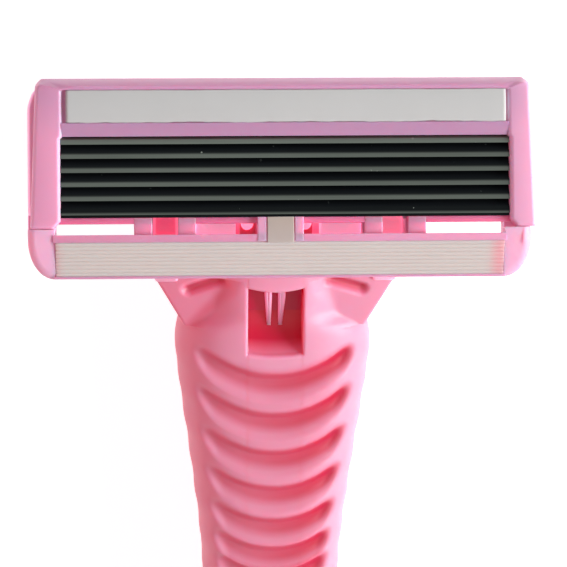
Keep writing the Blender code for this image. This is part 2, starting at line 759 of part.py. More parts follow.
def build_head(frame):
    """Everything that swings on the hinge."""
    pink = material("head_pink", (0.84, 0.42, 0.58), 0.42)
    mauve = material("cover_mauve", (0.80, 0.42, 0.60), 0.45)
    strip = material("strip_white", (0.80, 0.80, 0.79), 0.7)
    steel = material("blade_steel", (0.30, 0.32, 0.30), 0.3, 1.0)
    dark = material("support_steel", (0.08, 0.09, 0.10), 0.4, 1.0)
    soft = material("guard_white", (0.82, 0.76, 0.74), 0.65)
    build_housing(frame, pink)
    build_cover_frame(frame, mauve)
    build_strip(frame, strip)
    build_guard(frame, soft)
    for number, edge in enumerate(blade_edges(), 1):
        build_blade(frame, steel, number, edge)
        build_support(frame, dark, number, edge)


def handle_table():
    """The handle's outline in real sizes: distance behind the hinge, half width, front and back height."""
    table = []
    for start, length, shares in (
        (NECK_START, NECK_LENGTH, NECK_SHARES),
        (SHOULDER_REACH, GRIP_LENGTH, GRIP_SHARES),
    ):
        for place, half, front, rear in shares:
            table.append(
                (
                    start + length * place,
                    SHOULDER_HALF * half,
                    HANDLE_RISE * front,
                    HANDLE_RISE * rear,
                )
            )
    return np.array(table)


def smooth_row(table, along):
    """The other columns of a table at a place in its first, on smooth curves through its rows."""
    places = table[:, 0]
    last = len(table) - 1
    along = min(max(along, places[0]), places[last])
    index = min(max(int(np.searchsorted(places, along)) - 1, 0), last - 1)
    start, end = table[index], table[index + 1]
    before, after = table[max(index - 1, 0)], table[min(index + 2, last)]
    width = end[0] - start[0]
    share = (along - start[0]) / width
    slope_in = (end - before) / (end[0] - before[0])
    slope_out = (after - start) / (after[0] - start[0])
    blend = (
        start * (2 * share**3 - 3 * share**2 + 1)
        + end * (3 * share**2 - 2 * share**3)
        + slope_in * width * (share**3 - 2 * share**2 + share)
        + slope_out * width * (share**3 - share**2)
    )
    return blend[1:]


def handle_section(back):
    """Half width, front height and back height of the handle at a distance behind the hinge."""
    return smooth_row(handle_table(), back)


def groove_places():
    """Distances of the thumb grooves behind the hinge, closing up towards the tail."""
    places = [FIRST_GROOVE]
    for number in range(GROOVE_COUNT - 1):
        places.append(places[-1] + GROOVE_PITCH - PITCH_LOSS * number**2)
    return places


def smile(across, half_width):
    """How far a groove curls towards the head at a place across the handle."""
    end = GROOVE_END_SHARE * half_width
    reach = GROOVE_SMILE * (half_width / SHOULDER_HALF) ** 2
    return reach * min(1.0, abs(across) / end) ** 2


def groove_cut(across, middle_back, half_width):
    """Depth of the thumb grooves below the plain surface at a place on the front shell."""
    end = GROOVE_END_SHARE * half_width
    fade = min(max((end - abs(across)) / (end * GROOVE_FADE_SHARE), 0.0), 1.0)
    deepest = 0.0
    for place in groove_places():
        past = middle_back - place
        if past < -GROOVE_LIP or past > GROOVE_RAMP:
            continue
        rise = min(1.0, (past + GROOVE_LIP) / GROOVE_LIP)
        fall = 1.0 - max(0.0, past - GROOVE_FLOOR) / (GROOVE_RAMP - GROOVE_FLOOR)
        deepest = max(deepest, GROOVE_DEPTH * rise * fall * fade)
    return deepest


def ridge_cut(back):
    """Depth of the shallow finger ridges on the back shell."""
    first, last = FIRST_GROOVE, groove_places()[-1]
    if back < first or back > last:
        return 0.0
    return RIDGE_DEPTH * math.sin(math.pi * RIDGE_COUNT * (back - first) / (last - first)) ** 2


def shell_ring(back, side, warp):
    """One D-shaped ring of a shell: side is 1 for the front shell and -1 for the back shell."""
    half, _, _ = handle_section(back)
    ring = []
    for angle in np.linspace(0.0, math.pi, RING_POINTS + 1):
        across = half * math.copysign(abs(math.cos(angle)) ** ROUND_SHARE, math.cos(angle))
        place = back - warp * smile(across, half)
        local_half, front, rear = handle_section(place)
        across *= local_half / half
        parting = rear + PARTING_SHARE * (front - rear)
        reach = (front - parting) if side > 0 else (parting - rear)
        swell = reach * max(math.sin(angle), 0.0) ** ROUND_SHARE
        if side > 0:
            swell -= groove_cut(across, back, half) * warp
        else:
            swell -= ridge_cut(place) * math.sin(angle)
        height = parting + side * max(swell, GAP / 2)
        ring.append((across, -place, max(height, 0.0)))
    return ring


def shell_rows(grooved):
    """Distances behind the hinge of a shell's rings, and how far each is warped to the grooves."""
    first, last = groove_places()[0], groove_places()[-1]
    neck_end = first - GROOVE_LIP - GROOVE_SMILE
    rows = [(NECK_START + (neck_end - NECK_START) * share, 0.0) for share in NECK_RING_SHARES]
    if grooved:
        for place in groove_places():
            ramp = (GROOVE_FLOOR + GROOVE_RAMP) / 2
            steps = (-GROOVE_LIP, 0.0, GROOVE_FLOOR, ramp, GROOVE_RAMP)
            rows += [(place + step, 1.0) for step in steps]
    else:
        spans = RIDGE_ROWS * RIDGE_COUNT
        rows += [(first + (last - first) * index / spans, 1.0) for index in range(spans + 1)]
    start = last + GROOVE_RAMP + GROOVE_SMILE
    tail = np.linspace(0.0, 1.0, PLAIN_ROWS)
    rows += [(start + (TAIL_REACH - start) * share, 0.0) for share in tail]
    rows.append((TAIL_REACH - TAIL_EDGE, 0.0))
    return sorted(rows)


def loft(rings):
    """A closed skin over equal rings, with both ends filled."""
    count = len(rings[0])
    points = [point for ring in rings for point in ring]
    faces = [tuple(range(count)), tuple(range((len(rings) - 1) * count, len(rings) * count))]
    for row in range(len(rings) - 1):
        for index in range(count):
            following = (index + 1) % count
            faces.append(
                (
                    row * count + index,
                    row * count + following,
                    (row + 1) * count + following,
                    (row + 1) * count + index,
                )
            )
    return solid(points, faces)


def cavity_start():
    """Front end of the hollow inside both shells."""
    return spring_end() + SHELL_WALL / 2


def cavity():
    """The hollow inside both shells, behind the shoulders."""
    rings = []
    start = cavity_start()
    end = TAIL_REACH - 3 * SHELL_WALL
    places = [place for place in handle_table()[:, 0] if start + GAP < place < end - GAP]
    for back in (start, *places, end):
        half, front, rear = handle_section(back)
        rear = max(rear, 0.0)
        middle = (front + rear) / 2
        wide = half - SHELL_WALL
        high = (front - rear) / 2 - SHELL_WALL - GROOVE_DEPTH / 2
        ring = []
        for angle in np.linspace(0.0, 2 * math.pi, 2 * ARC_STEPS + 1)[:-1]:
            ring.append((wide * math.cos(angle), -back, middle + high * math.sin(angle)))
        rings.append(ring)
    return loft(rings)


def neck_channel():
    """The slideway for the plunger through the neck."""
    top = PLUNGER_HEIGHT + NOSE_RADIUS + RUN_GAP
    bottom = PLUNGER_HEIGHT - NOSE_RADIUS - RUN_GAP
    end = DECK_END + plunger_travel() + GAP
    outline = on_handle(rectangle(NECK_START - OVERRUN, end, bottom, top))
    half = NOSE_HALF + RUN_GAP
    return prisms((outline, -half, half, 0))


def spring_trough():
    """The trough for the spring below the slideway."""
    low = SPRING_HEIGHT - SPRING_OUTER - RUN_GAP
    outline = on_handle(
        rectangle(NECK_START - OVERRUN, spring_end() + GAP / 2, low, PLUNGER_HEIGHT)
    )
    half = SPRING_OUTER + RUN_GAP
    return prisms((outline, -half, half, 0))


def neck_window():
    """The window over the plunger's fingers."""
    floor, top = PLUNGER_HEIGHT, AXIS_HEIGHT + OVERRUN
    outline = [
        (WINDOW_START, floor),
        (WINDOW_END - WINDOW_RAMP, floor),
        (WINDOW_END - WINDOW_RAMP, PLUNGER_HEIGHT + NOSE_RADIUS),
        (WINDOW_END, AXIS_HEIGHT),
        (WINDOW_END, top),
        (WINDOW_START, top),
    ]
    return prisms((on_handle(outline), -WINDOW_HALF, WINDOW_HALF, 0))


def on_handle_plan(outline):
    """Turns (across, back) into the handle frame, seen from above."""
    return [(across, -back) for across, back in outline]


def wing_plan():
    """Top view of the right wing: an arm for the hinge, then a web that runs into the neck."""
    return on_handle_plan(
        [
            (ARM_OUTER, -EYE_RADIUS - OVERRUN),
            (ARM_OUTER, NECK_START),
            (WING_HALF, WING_KNEE),
            (WING_ROOT_HALF, WING_TIP - GAP),
            (WING_TIP_HALF, WING_TIP),
            (WING_CORE_HALF, WING_TIP),
            (WING_CORE_HALF, WEB_START),
            (ARM_INNER, WEB_START + WEB_SLANT),
            (ARM_INNER, -EYE_RADIUS - OVERRUN),
        ]
    )


def wing_side():
    """Side view of the wings: a round eye at the hinge that falls back into the shoulders."""
    knee_top = AXIS_HEIGHT - WING_TOP_DROP
    tip_top = AXIS_HEIGHT - WING_TIP_DROP
    return [
        *arc((0.0, AXIS_HEIGHT), (-EYE_RADIUS, EYE_RADIUS), -70, 80, 2 * ARC_STEPS),
        (WING_KNEE, knee_top),
        (WING_TIP, tip_top),
        (WING_TIP, tip_top - WING_THICKNESS),
        (WING_KNEE, knee_top - WING_THICKNESS),
    ]


def wings(frame):
    """Both wings, as one tool that is joined to the front shell."""
    plan = wing_plan()
    wide, tall = WING_HALF + OVERRUN, AXIS_HEIGHT + 2 * EYE_RADIUS
    both = tool("wings_tool", prisms((plan, 0.0, tall, 2), (mirrored(plan), 0.0, tall, 2)), frame)
    side = tool("wing_side_tool", prisms((on_handle(wing_side()), -wide, wide, 0)), frame)
    combine(both, side, "INTERSECT")
    return both


def brow_slots():
    """The slanted slot in the top of each wing, with round ends."""
    inner = (BROW_INNER_SHARE * SHOULDER_HALF, WEB_START + BROW_SETBACK)
    outer = (BROW_OUTER_SHARE * SHOULDER_HALF, inner[1] + BROW_RUN)
    slope = math.degrees(math.atan2(BROW_RUN, outer[0] - inner[0]))
    radii = (BROW_HALF, BROW_HALF)
    plan = on_handle_plan(
        [*arc(outer, radii, slope - 90, slope + 90), *arc(inner, radii, slope + 90, slope + 270)]
    )
    floor = AXIS_HEIGHT - WING_TOP_DROP - BROW_DEPTH
    top = AXIS_HEIGHT + OVERRUN
    return prisms((plan, floor, top, 2), (mirrored(plan), floor, top, 2))


def hinge_pins():
    """The two round pins that stand out from the arms into the ears."""
    pin = arc((0.0, AXIS_HEIGHT), (PIN_RADIUS, PIN_RADIUS), 0, 360, PIN_SIDES)[:-1]
    return both_sides(pin, ARM_OUTER - POST_WIDTH / 2, LUG_END + PIN_GRIP)


def build_shell(name, frame, finish, side):
    """A handle shell with its hollow and the plunger's slideway; the front one has the wings."""
    rings = [shell_ring(back, side, warp) for back, warp in shell_rows(side > 0)]
    part = piece(name, loft(rings), finish, frame)
    if side > 0:
        combine(part, wings(frame), "UNION")
        shape_with(part, hinge_pins(), "UNION")
        shape_with(part, neck_window(), "DIFFERENCE")
        shape_with(part, brow_slots(), "DIFFERENCE")
    for mesh in (cavity(), neck_channel(), spring_trough()):
        shape_with(part, mesh, "DIFFERENCE")
    smooth(part)


def plunger_travel():
    """How far the cam pushes the round nose back over the head's full swing."""
    face = CAM_REACH - NOSE_RADIUS
    cosine, sine = math.cos(HEAD_SWING), math.sin(HEAD_SWING)
    return face - (face - PLUNGER_DROP * sine) / cosine


def spring_start():
    """Front end of the spring, behind the plunger's foot."""
    return NOSE_LENGTH + GAP / 2


def spring_end():
    """Back end of the spring, at the wall behind its trough."""
    return spring_start() + SPRING_LENGTH


def build_plunger(frame, finish):
    """The plunger: a round nose on the cam, a deck with two fingers and a foot for the spring."""
    nose_top = PLUNGER_HEIGHT + NOSE_RADIUS
    nose_bottom = PLUNGER_HEIGHT - NOSE_RADIUS
    front = arc((NOSE_CENTRE, PLUNGER_HEIGHT), (-NOSE_RADIUS, NOSE_RADIUS), 90, -90, 2 * ARC_STEPS)
    nose = [*front, (NOSE_LENGTH, nose_bottom), (NOSE_LENGTH, nose_top)]
    part = piece(
        "plunger", prisms((on_handle(nose), -NOSE_HALF, NOSE_HALF, 0)), finish, frame
    )
    deck_top = PLUNGER_HEIGHT - NOSE_RADIUS / 2 + DECK_THICKNESS - RUN_GAP
    deck_low = deck_top - DECK_THICKNESS
    deck = rectangle(NOSE_LENGTH - OVERRUN, DECK_END, deck_low, deck_top)
    shape_with(part, prisms((on_handle(deck), -DECK_HALF, DECK_HALF, 0)), "UNION")
    foot = rectangle(
        NOSE_LENGTH - SEAT_LENGTH, NOSE_LENGTH, SPRING_HEIGHT - SPRING_RADIUS, PLUNGER_HEIGHT
    )
    shape_with(part, prisms((on_handle(foot), -SPRING_RADIUS, SPRING_RADIUS, 0)), "UNION")
    finger = on_handle(rectangle(NOSE_LENGTH - OVERRUN, FINGER_END, deck_low + RUN_GAP, nose_top))
    inner = FINGER_SLIT / 2
    outer = inner + FINGER_WIDTH
    fingers = prisms((finger, inner, outer, 0), (finger, -outer, -inner, 0))
    shape_with(part, fingers, "UNION")


def spring_points():
    """Middle line of the spring in the handle frame: a coil whose ends run straight to their seats."""
    tail = 2 * WIRE_RADIUS
    first, last = spring_start() + tail, spring_end() - tail
    points = [(SPRING_RADIUS, -spring_start(), SPRING_HEIGHT)]
    for share in np.linspace(0.0, 1.0, SPRING_TURNS * POINTS_PER_TURN + 1):
        angle = 2 * math.pi * SPRING_TURNS * share
        points.append(
            (
                SPRING_RADIUS * math.cos(angle),
                -first - (last - first) * share,
                SPRING_HEIGHT + SPRING_RADIUS * math.sin(angle),
            )
        )
    points.append((SPRING_RADIUS, -spring_end(), SPRING_HEIGHT))
    return points


def least_gap(points, apart, radius):
    """Least gap of a round wire to itself, between points that are some way apart along it."""
    places = np.array(points)
    near = []
    for index in range(len(places) - apart):
        others = places[index + apart :]
        near.append(np.linalg.norm(others - places[index], axis=1).min())
    return min(near) - 2 * radius


def build_spring(frame, finish):
    """The coil spring, one unbroken round wire."""
    points = spring_points()
    curve = bpy.data.curves.new("spring_line", "CURVE")
    curve.dimensions = "3D"
    curve.bevel_depth = WIRE_RADIUS
    curve.bevel_resolution = 1
    curve.use_fill_caps = True
    line = curve.splines.new("POLY")
    line.points.add(len(points) - 1)
    for knot, point in zip(line.points, points):
        knot.co = (*point, 1.0)
    piece("plunger_spring", curve, finish, frame)
    gap = least_gap(points, POINTS_PER_TURN // 2, WIRE_RADIUS)
    print(f"least gap of the spring to itself {gap / MM:.2f} mm")


def head_reach():
    """How far the tilted head reaches ahead of the hinge."""
    points = on_head(cover_profile())
    cosine, sine = math.cos(FACE_TILT), math.sin(FACE_TILT)
    return max(up * cosine + out * sine for up, out in points)


def build():
    """Places the two frames so that the razor is centred over the origin, then makes its pieces."""
    clear_scene()
    axis_y = (TAIL_REACH - head_reach()) / 2
    head_axis = empty("head_axis", (0.0, axis_y, AXIS_HEIGHT), -FACE_TILT)
    handle_root = empty("handle_root", (0.0, axis_y, 0.0))
    build_head(head_axis)
    pink = material("handle_pink", (0.86, 0.38, 0.52), 0.4)
    deep = material("plunger_pink", (0.80, 0.22, 0.36), 0.4)
    wire = material("spring_steel", (0.55, 0.56, 0.55), 0.3, 1.0)
    build_plunger(handle_root, deep)
    build_spring(handle_root, wire)
    build_shell("handle_front", handle_root, pink, 1)
    build_shell("handle_back", handle_root, pink, -1)
    bpy.context.view_layer.update()
    print(f"hinge at y = {axis_y / MM:.3f} mm, z = {AXIS_HEIGHT / MM:.3f} mm")
    print(f"plunger travel {plunger_travel() / MM:.3f} mm")


build()
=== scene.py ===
"""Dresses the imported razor: smooth mouldings, ground blades, finned guard, finishes, light and camera.

Every length in the classes is in millimetres, and meshes are written in metres. Positions on the head
are (across, up, out) on its shaving face: up runs from the guard to the cap, and out = 0 at the crest of
the cap. Positions on the handle are (across, back, height): back is the distance behind the hinge.
"""

import logging
import math
from collections.abc import Callable
from dataclasses import dataclass, field, replace
from enum import Enum
from functools import cache
from typing import Union

import bmesh
import bpy
import numpy as np
from mathutils import Matrix, Vector


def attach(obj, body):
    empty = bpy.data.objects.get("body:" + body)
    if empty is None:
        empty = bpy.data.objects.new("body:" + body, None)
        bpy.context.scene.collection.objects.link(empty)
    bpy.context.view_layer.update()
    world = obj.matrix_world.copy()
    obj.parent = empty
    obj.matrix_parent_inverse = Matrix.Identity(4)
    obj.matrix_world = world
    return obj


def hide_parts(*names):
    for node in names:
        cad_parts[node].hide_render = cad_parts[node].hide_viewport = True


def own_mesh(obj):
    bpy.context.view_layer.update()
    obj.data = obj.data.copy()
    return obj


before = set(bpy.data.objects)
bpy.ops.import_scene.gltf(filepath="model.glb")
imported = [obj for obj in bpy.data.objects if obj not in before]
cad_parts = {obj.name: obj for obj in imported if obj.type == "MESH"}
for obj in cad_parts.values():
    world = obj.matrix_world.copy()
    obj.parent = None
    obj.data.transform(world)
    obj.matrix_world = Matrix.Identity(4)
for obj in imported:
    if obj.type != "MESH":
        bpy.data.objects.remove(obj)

MM = 0.001
QUARTER = math.pi / 2
BLACK = (0.0, 0.0, 0.0, 1.0)
WHITE = (1.0, 1.0, 1.0, 1.0)
COLOUR = "NodeSocketColor"
NUMBER = "NodeSocketFloat"
LOG = logging.getLogger("razor")
Array = np.ndarray
Tree = bpy.types.NodeTree
Socket = bpy.types.NodeSocket
Value = Union[Socket, float, tuple]


class Body(Enum):
    """The moving bodies that pieces ride on."""

    HANDLE = "handle"
    HEAD = "head"
    PLUNGER = "plunger"


# Shapes


@dataclass
class Surface:
    """One or more skins: points, faces and two marks on the points, each from 0 to 1.

    rim marks thin and rounded edges, where a paler colour and a glow are painted as highlight, and depth
    marks hollows, thick places and faces in shade, where a deeper colour is painted as shade.
    """

    points: Array
    faces: list
    rim: Array
    depth: Array

    @classmethod
    def of(cls, points: Array, faces: list, rim: Array = 0.0, depth: Array = 0.0) -> "Surface":
        """Flattens a grid of points and its marks; a mark may be one number."""
        marks = [np.broadcast_to(mark, points.shape[:-1]).reshape(-1) for mark in (rim, depth)]
        return cls(points.reshape(-1, 3), faces, *marks)

    def mapped(self, place: Callable) -> "Surface":
        """The same skin with its points sent through a function of three coordinates."""
        return replace(self, points=np.stack(place(*self.points.T), axis=-1))

    def turned(self, *order: int) -> "Surface":
        """The same skin with its coordinates taken in another order."""
        return replace(self, points=self.points[:, order])

    def marked(self, rim: float = 1.0, depth: float = 0.0) -> "Surface":
        """The same skin with its rim marks scaled and a depth added."""
        return replace(self, rim=self.rim * rim, depth=self.depth + depth)


def joined(skins: list) -> Surface:
    """Several skins as one surface, which still are separate shells."""
    starts = np.cumsum([0] + [len(skin.points) for skin in skins])
    faces = [block + start for skin, start in zip(skins, starts) for block in skin.faces]
    points, rim, depth = zip(*[(skin.points, skin.rim, skin.depth) for skin in skins])
    return Surface(np.concatenate(points), faces, np.concatenate(rim), np.concatenate(depth))


def tube_faces(rows: int, columns: int) -> list:
    """Faces of closed rings carried along a path, with both ends filled."""
    index = np.arange(rows * columns).reshape(rows, columns)
    index = np.concatenate([index, index[:, :1]], axis=1)
    corners = (index[:-1, :-1], index[:-1, 1:], index[1:, 1:], index[1:, :-1])
    sides = np.stack([corner.reshape(-1) for corner in corners], axis=-1)
    return [sides, index[:1, -2::-1], index[-1:, :-1]]


def softened(outline: Array, radius: float, steps: int = 3) -> Array:
    """A closed outline with each corner replaced by a short parabola.

    Args:
        outline: corner points, one row each.
        radius: how far from a corner its curve starts, at most 0.45 of either edge.
        steps: pieces of each curve.

    Returns:
        The points of the softer outline.
    """
    outline = np.asarray(outline, float)
    ends = []
    for other in (np.roll(outline, 1, axis=0), np.roll(outline, -1, axis=0)):
        edge = other - outline
        length = np.linalg.norm(edge, axis=1, keepdims=True)
        ends.append((outline + edge * np.minimum(radius / length, 0.45))[:, None])
    share = np.linspace(0.0, 1.0, steps + 1)[None, :, None]
    curve = (1 - share) ** 2 * ends[0] + 2 * share * (1 - share) * outline[:, None] + share**2 * ends[1]
    return curve.reshape(-1, 2)


def inset(outline: Array, amount: Array) -> Array:
    """Closed outlines drawn in by some amounts along the mitre of their corners, one ring for each."""
    after = np.roll(outline, -1, axis=0)
    edge = after - outline
    edge = edge / np.maximum(np.linalg.norm(edge, axis=1, keepdims=True), 1e-9)
    area = np.sum(outline[:, 0] * after[:, 1] - outline[:, 1] * after[:, 0])
    normal = np.stack([-edge[:, 1], edge[:, 0]], axis=1) * np.sign(area)
    earlier = np.roll(normal, 1, axis=0)
    mitre = (normal + earlier) / np.maximum(1 + np.sum(normal * earlier, axis=1, keepdims=True), 0.4)
    return outline[None] + np.asarray(amount)[:, None, None] * mitre[None]


def slab(
    outline: Array, low: float, high: float, rim: float, soft: float = 0.0, steps: int = 4, between: int = 0
) -> Surface:
    """An outline carried along a third coordinate, with a quarter-round rim at both ends.

    The rings near an end follow a quarter circle: drawn in by rim * (1 - sin a), set back from the end by
    rim * (1 - cos a), for a from 90 degrees down to 0.

    Args:
        outline: corner points in the first two coordinates.
        low: lower end in the third coordinate.
        high: upper end.
        rim: radius of the rounding at the ends.
        soft: radius of the rounding at the corners of the outline.
        steps: pieces of each quarter circle.
        between: plain rings added between the two ends.

    Returns:
        A closed skin whose coordinates are the outline's two and the third.
    """
    outline = softened(outline, soft) if soft else np.asarray(outline, float)
    angle = np.linspace(0.0, QUARTER, steps + 1)
    draw, back = rim * (1 - np.sin(angle)), rim * (1 - np.cos(angle))
    draw, back = np.append(draw[0] * 1.2, draw), np.append(0.0, back)
    # rim mark for a painted highlight, greatest half-way round each rounding
    mark = np.append(0.0, np.sin(2 * angle))
    plain = np.zeros(between)
    middle = np.linspace(low + rim, high - rim, between + 2)[1:-1]
    levels = np.concatenate([low + back, middle, high - back[::-1]])
    rings = inset(outline, np.concatenate([draw, plain, draw[::-1]]))
    marks = np.concatenate([mark, plain, mark[::-1]])[:, None]
    third = np.broadcast_to(levels[:, None, None], (*rings.shape[:2], 1))
    points = np.concatenate([rings, third], axis=-1)
    return Surface.of(points, tube_faces(*rings.shape[:2]), rim=marks)


def box_outline(first_low: float, first_high: float, second_low: float, second_high: float) -> Array:
    """The four corners of a rectangle."""
    corners = [(first_low, second_low), (first_high, second_low), (first_high, second_high)]
    return np.array([*corners, (first_low, second_high)])


def arc(centre: tuple, radii: tuple, start: float, end: float, steps: int) -> Array:
    """Points on an ellipse between two angles in degrees."""
    angle = np.radians(np.linspace(start, end, steps + 1))
    return np.stack([centre[0] + radii[0] * np.cos(angle), centre[1] + radii[1] * np.sin(angle)], axis=1)


def smoothstep(value: Array) -> Array:
    """0 below 0, 1 above 1 and a smooth S between."""
    share = np.clip(value, 0.0, 1.0)
    return share * share * (3 - 2 * share)


def smooth_max(first: Array, second: Array, blend: float) -> Array:
    """The greater of two heights with a fillet: both, plus h * h / (4 * blend) where h = blend - |a - b|."""
    near = np.maximum(blend - np.abs(first - second), 0.0)
    return np.maximum(first, second) + near * near / (4 * blend)


def both_sides(low: float, high: float) -> tuple:
    """A span on the right and its mirror image on the left."""
    return (low, high), (-high, -low)


@dataclass(frozen=True)
class HeadFrame:
    """The tilted frame of the shaving face."""

    hinge_y: float = 57.986
    hinge_z: float = 12.0
    tilt: float = math.radians(25.0)
    hinge_up: float = -4.17
    hinge_out: float = -6.0

    def place(self, across: Array, up: Array, out: Array) -> tuple:
        """World coordinates in millimetres of points on the face."""
        rise, ahead = out - self.hinge_out, up - self.hinge_up
        cosine, sine = math.cos(self.tilt), math.sin(self.tilt)
        y = self.hinge_y + ahead * cosine + rise * sine
        return across, y, self.hinge_z - ahead * sine + rise * cosine

    @property
    def normal(self) -> Vector:
        """Direction out of the face."""
        return Vector((0.0, math.sin(self.tilt), math.cos(self.tilt)))

    @property
    def upward(self) -> Vector:
        """Direction up the face, from the guard to the cap."""
        return Vector((0.0, math.cos(self.tilt), -math.sin(self.tilt)))


HEAD = HeadFrame()


def on_handle(across: Array, back: Array, height: Array) -> tuple:
    """World coordinates in millimetres of points on the handle."""
    return across, HEAD.hinge_y - back, height


def facing_head(skin: Surface) -> Surface:
    """A skin whose coordinates are (across, up, out), placed on the head."""
    return skin.mapped(HEAD.place)


def along_head(skin: Surface) -> Surface:
    """A skin whose coordinates are (up, out, across), placed on the head."""
    return skin.turned(2, 0, 1).mapped(HEAD.place)


def along_handle(skin: Surface) -> Surface:
    """A skin whose coordinates are (back, height, across), placed on the handle."""
    return skin.turned(2, 0, 1).mapped(on_handle)


# Finishes


def node_group(name: str, inputs: dict, outputs: dict) -> tuple:
    """A shader node group with named sockets.

    Args:
        name: the group's name.
        inputs: names of the inputs by socket type.
        outputs: names of the outputs by socket type.

    Returns:
        The group, the sockets that its inputs come in by, and the sockets that its outputs leave by.
    """
    group = bpy.data.node_groups.new(name, "ShaderNodeTree")
    for side, kinds in (("INPUT", inputs), ("OUTPUT", outputs)):
        for kind, labels in kinds.items():
            for label in labels:
                group.interface.new_socket(label, in_out=side, socket_type=kind)
    return group, group.nodes.new("NodeGroupInput").outputs, group.nodes.new("NodeGroupOutput").inputs


def feed(tree: Tree, socket: Socket, value: Value) -> None:
    """Links a socket to another one, or sets its value."""
    if isinstance(value, bpy.types.NodeSocket):
        tree.links.new(value, socket)
    else:
        socket.default_value = value


def mix_colour(tree: Tree, factor: Value, first: Value, second: Value, blend: str = "MIX") -> Socket:
    """Adds a colour mix node and returns its result socket."""
    node = tree.nodes.new("ShaderNodeMix")
    node.data_type = "RGBA"
    node.blend_type = blend
    for index, value in ((0, factor), (6, first), (7, second)):
        feed(tree, node.inputs[index], value)
    return node.outputs[2]


def maths(tree: Tree, operation: str, first: Value, second: Value = 0.0) -> Socket:
    """Adds a maths node and returns its result socket."""
    node = tree.nodes.new("ShaderNodeMath")
    node.operation = operation
    feed(tree, node.inputs[0], first)
    feed(tree, node.inputs[1], second)
    return node.outputs[0]


def noise(tree: Tree, scale: float, detail: float, stretch: tuple = (1.0, 1.0, 1.0)) -> Socket:
    """Adds a noise texture on Object coordinates and returns its factor socket."""
    place = tree.nodes.new("ShaderNodeTexCoord")
    mapping = tree.nodes.new("ShaderNodeMapping")
    mapping.inputs["Scale"].default_value = stretch
    texture = tree.nodes.new("ShaderNodeTexNoise")
    texture.inputs["Scale"].default_value = scale
    texture.inputs["Detail"].default_value = detail
    tree.links.new(place.outputs["Object"], mapping.inputs["Vector"])
    tree.links.new(mapping.outputs[0], texture.inputs["Vector"])
    return texture.outputs[0]


def attribute(tree: Tree, name: str) -> Socket:
    """Adds a reader of a point mark and returns its value socket."""
    node = tree.nodes.new("ShaderNodeAttribute")
    node.attribute_name = name
    return node.outputs["Fac"]


def shaded(tree: Tree, colour: Socket, level: Socket) -> Socket:
    """Multiplies a colour by a grey level and returns the result socket."""
    tone = tree.nodes.new("ShaderNodeCombineColor")
    for socket in tone.inputs[:3]:
        tree.links.new(level, socket)
    return mix_colour(tree, 1.0, colour, tone.outputs[0], "MULTIPLY")


@cache
def moulding_group() -> Tree:
    """Translucent moulded plastic with painted light: a paler painted highlight at rims, a deeper painted
    shade in hollows and an emitted painted glow; softly mottled, finely grained.
    """
    numbers = ("Rim Share", "Mottle", "Roughness", "Grain", "Backlight Share", "Deep Share", "Hollow Shade")
    group, given, made = node_group(
        "moulded plastic",
        {COLOUR: ("Colour", "Deep Colour", "Rim Colour", "Backlight"), NUMBER: numbers},
        {COLOUR: ("Colour", "Glow"), NUMBER: ("Roughness", "Height")},
    )
    rim, depth = attribute(group, "rim"), attribute(group, "depth")
    cloud = maths(group, "SUBTRACT", noise(group, scale=140.0, detail=3.0), 0.5)
    even = maths(group, "ADD", maths(group, "MULTIPLY", cloud, given["Mottle"]), 1.0)
    # painted shade: the deepest hollows are darkened by Hollow Shade
    pit = maths(group, "MULTIPLY", maths(group, "POWER", depth, 4.0), given["Hollow Shade"])
    deep = mix_colour(group, depth, given["Colour"], given["Deep Colour"])
    edge = maths(group, "MULTIPLY", rim, given["Rim Share"])
    pale = mix_colour(group, edge, deep, given["Rim Colour"])
    colour = shaded(group, pale, maths(group, "SUBTRACT", even, pit))
    scuff = maths(group, "SUBTRACT", noise(group, scale=900.0, detail=4.0), 0.5)
    scuff = maths(group, "MULTIPLY", scuff, 0.18)
    grain = noise(group, scale=5200.0, detail=2.0)
    # painted glow: an emission of the colour tinted by Backlight, at rims, in hollows by Deep Share and
    # everywhere by Backlight Share
    hollow = maths(group, "MULTIPLY", depth, given["Deep Share"])
    lit = maths(group, "MAXIMUM", maths(group, "MAXIMUM", hollow, rim), given["Backlight Share"])
    tint = mix_colour(group, lit, BLACK, given["Backlight"])
    feed(group, made["Colour"], colour)
    feed(group, made["Glow"], mix_colour(group, 1.0, colour, tint, "MULTIPLY"))
    feed(group, made["Roughness"], maths(group, "ADD", given["Roughness"], scuff))
    feed(group, made["Height"], maths(group, "MULTIPLY", grain, given["Grain"]))
    return group


@cache
def steel_group() -> Tree:
    """Ground strip steel: fine lines along the blade, with slow changes of tone and a few bright specks;
    where the depth mark is set the colour darkens to the Dark Colour, painted shade.
    """
    group, given, made = node_group(
        "ground steel",
        {COLOUR: ("Colour", "Speck Colour", "Dark Colour"), NUMBER: ("Line Contrast", "Roughness")},
        {COLOUR: ("Colour",), NUMBER: ("Roughness", "Height")},
    )
    lines = noise(group, scale=9000.0, detail=3.0, stretch=(0.02, 1.0, 1.0))
    slow = noise(group, scale=220.0, detail=2.0, stretch=(0.3, 1.0, 1.0))
    both = maths(group, "SUBTRACT", maths(group, "ADD", lines, slow), 1.0)
    shade = maths(group, "ADD", maths(group, "MULTIPLY", both, given["Line Contrast"]), 1.0)
    # painted shade: the depth mark darkens the steel to the Dark Colour
    steel = mix_colour(group, attribute(group, "depth"), given["Colour"], given["Dark Colour"])
    speck = maths(group, "GREATER_THAN", noise(group, scale=2900.0, detail=0.0), 0.86)
    feed(group, made["Colour"], mix_colour(group, speck, shaded(group, steel, shade), given["Speck Colour"]))
    rough = maths(group, "MULTIPLY", lines, 0.15)
    feed(group, made["Roughness"], maths(group, "ADD", given["Roughness"], rough))
    feed(group, made["Height"], lines)
    return group


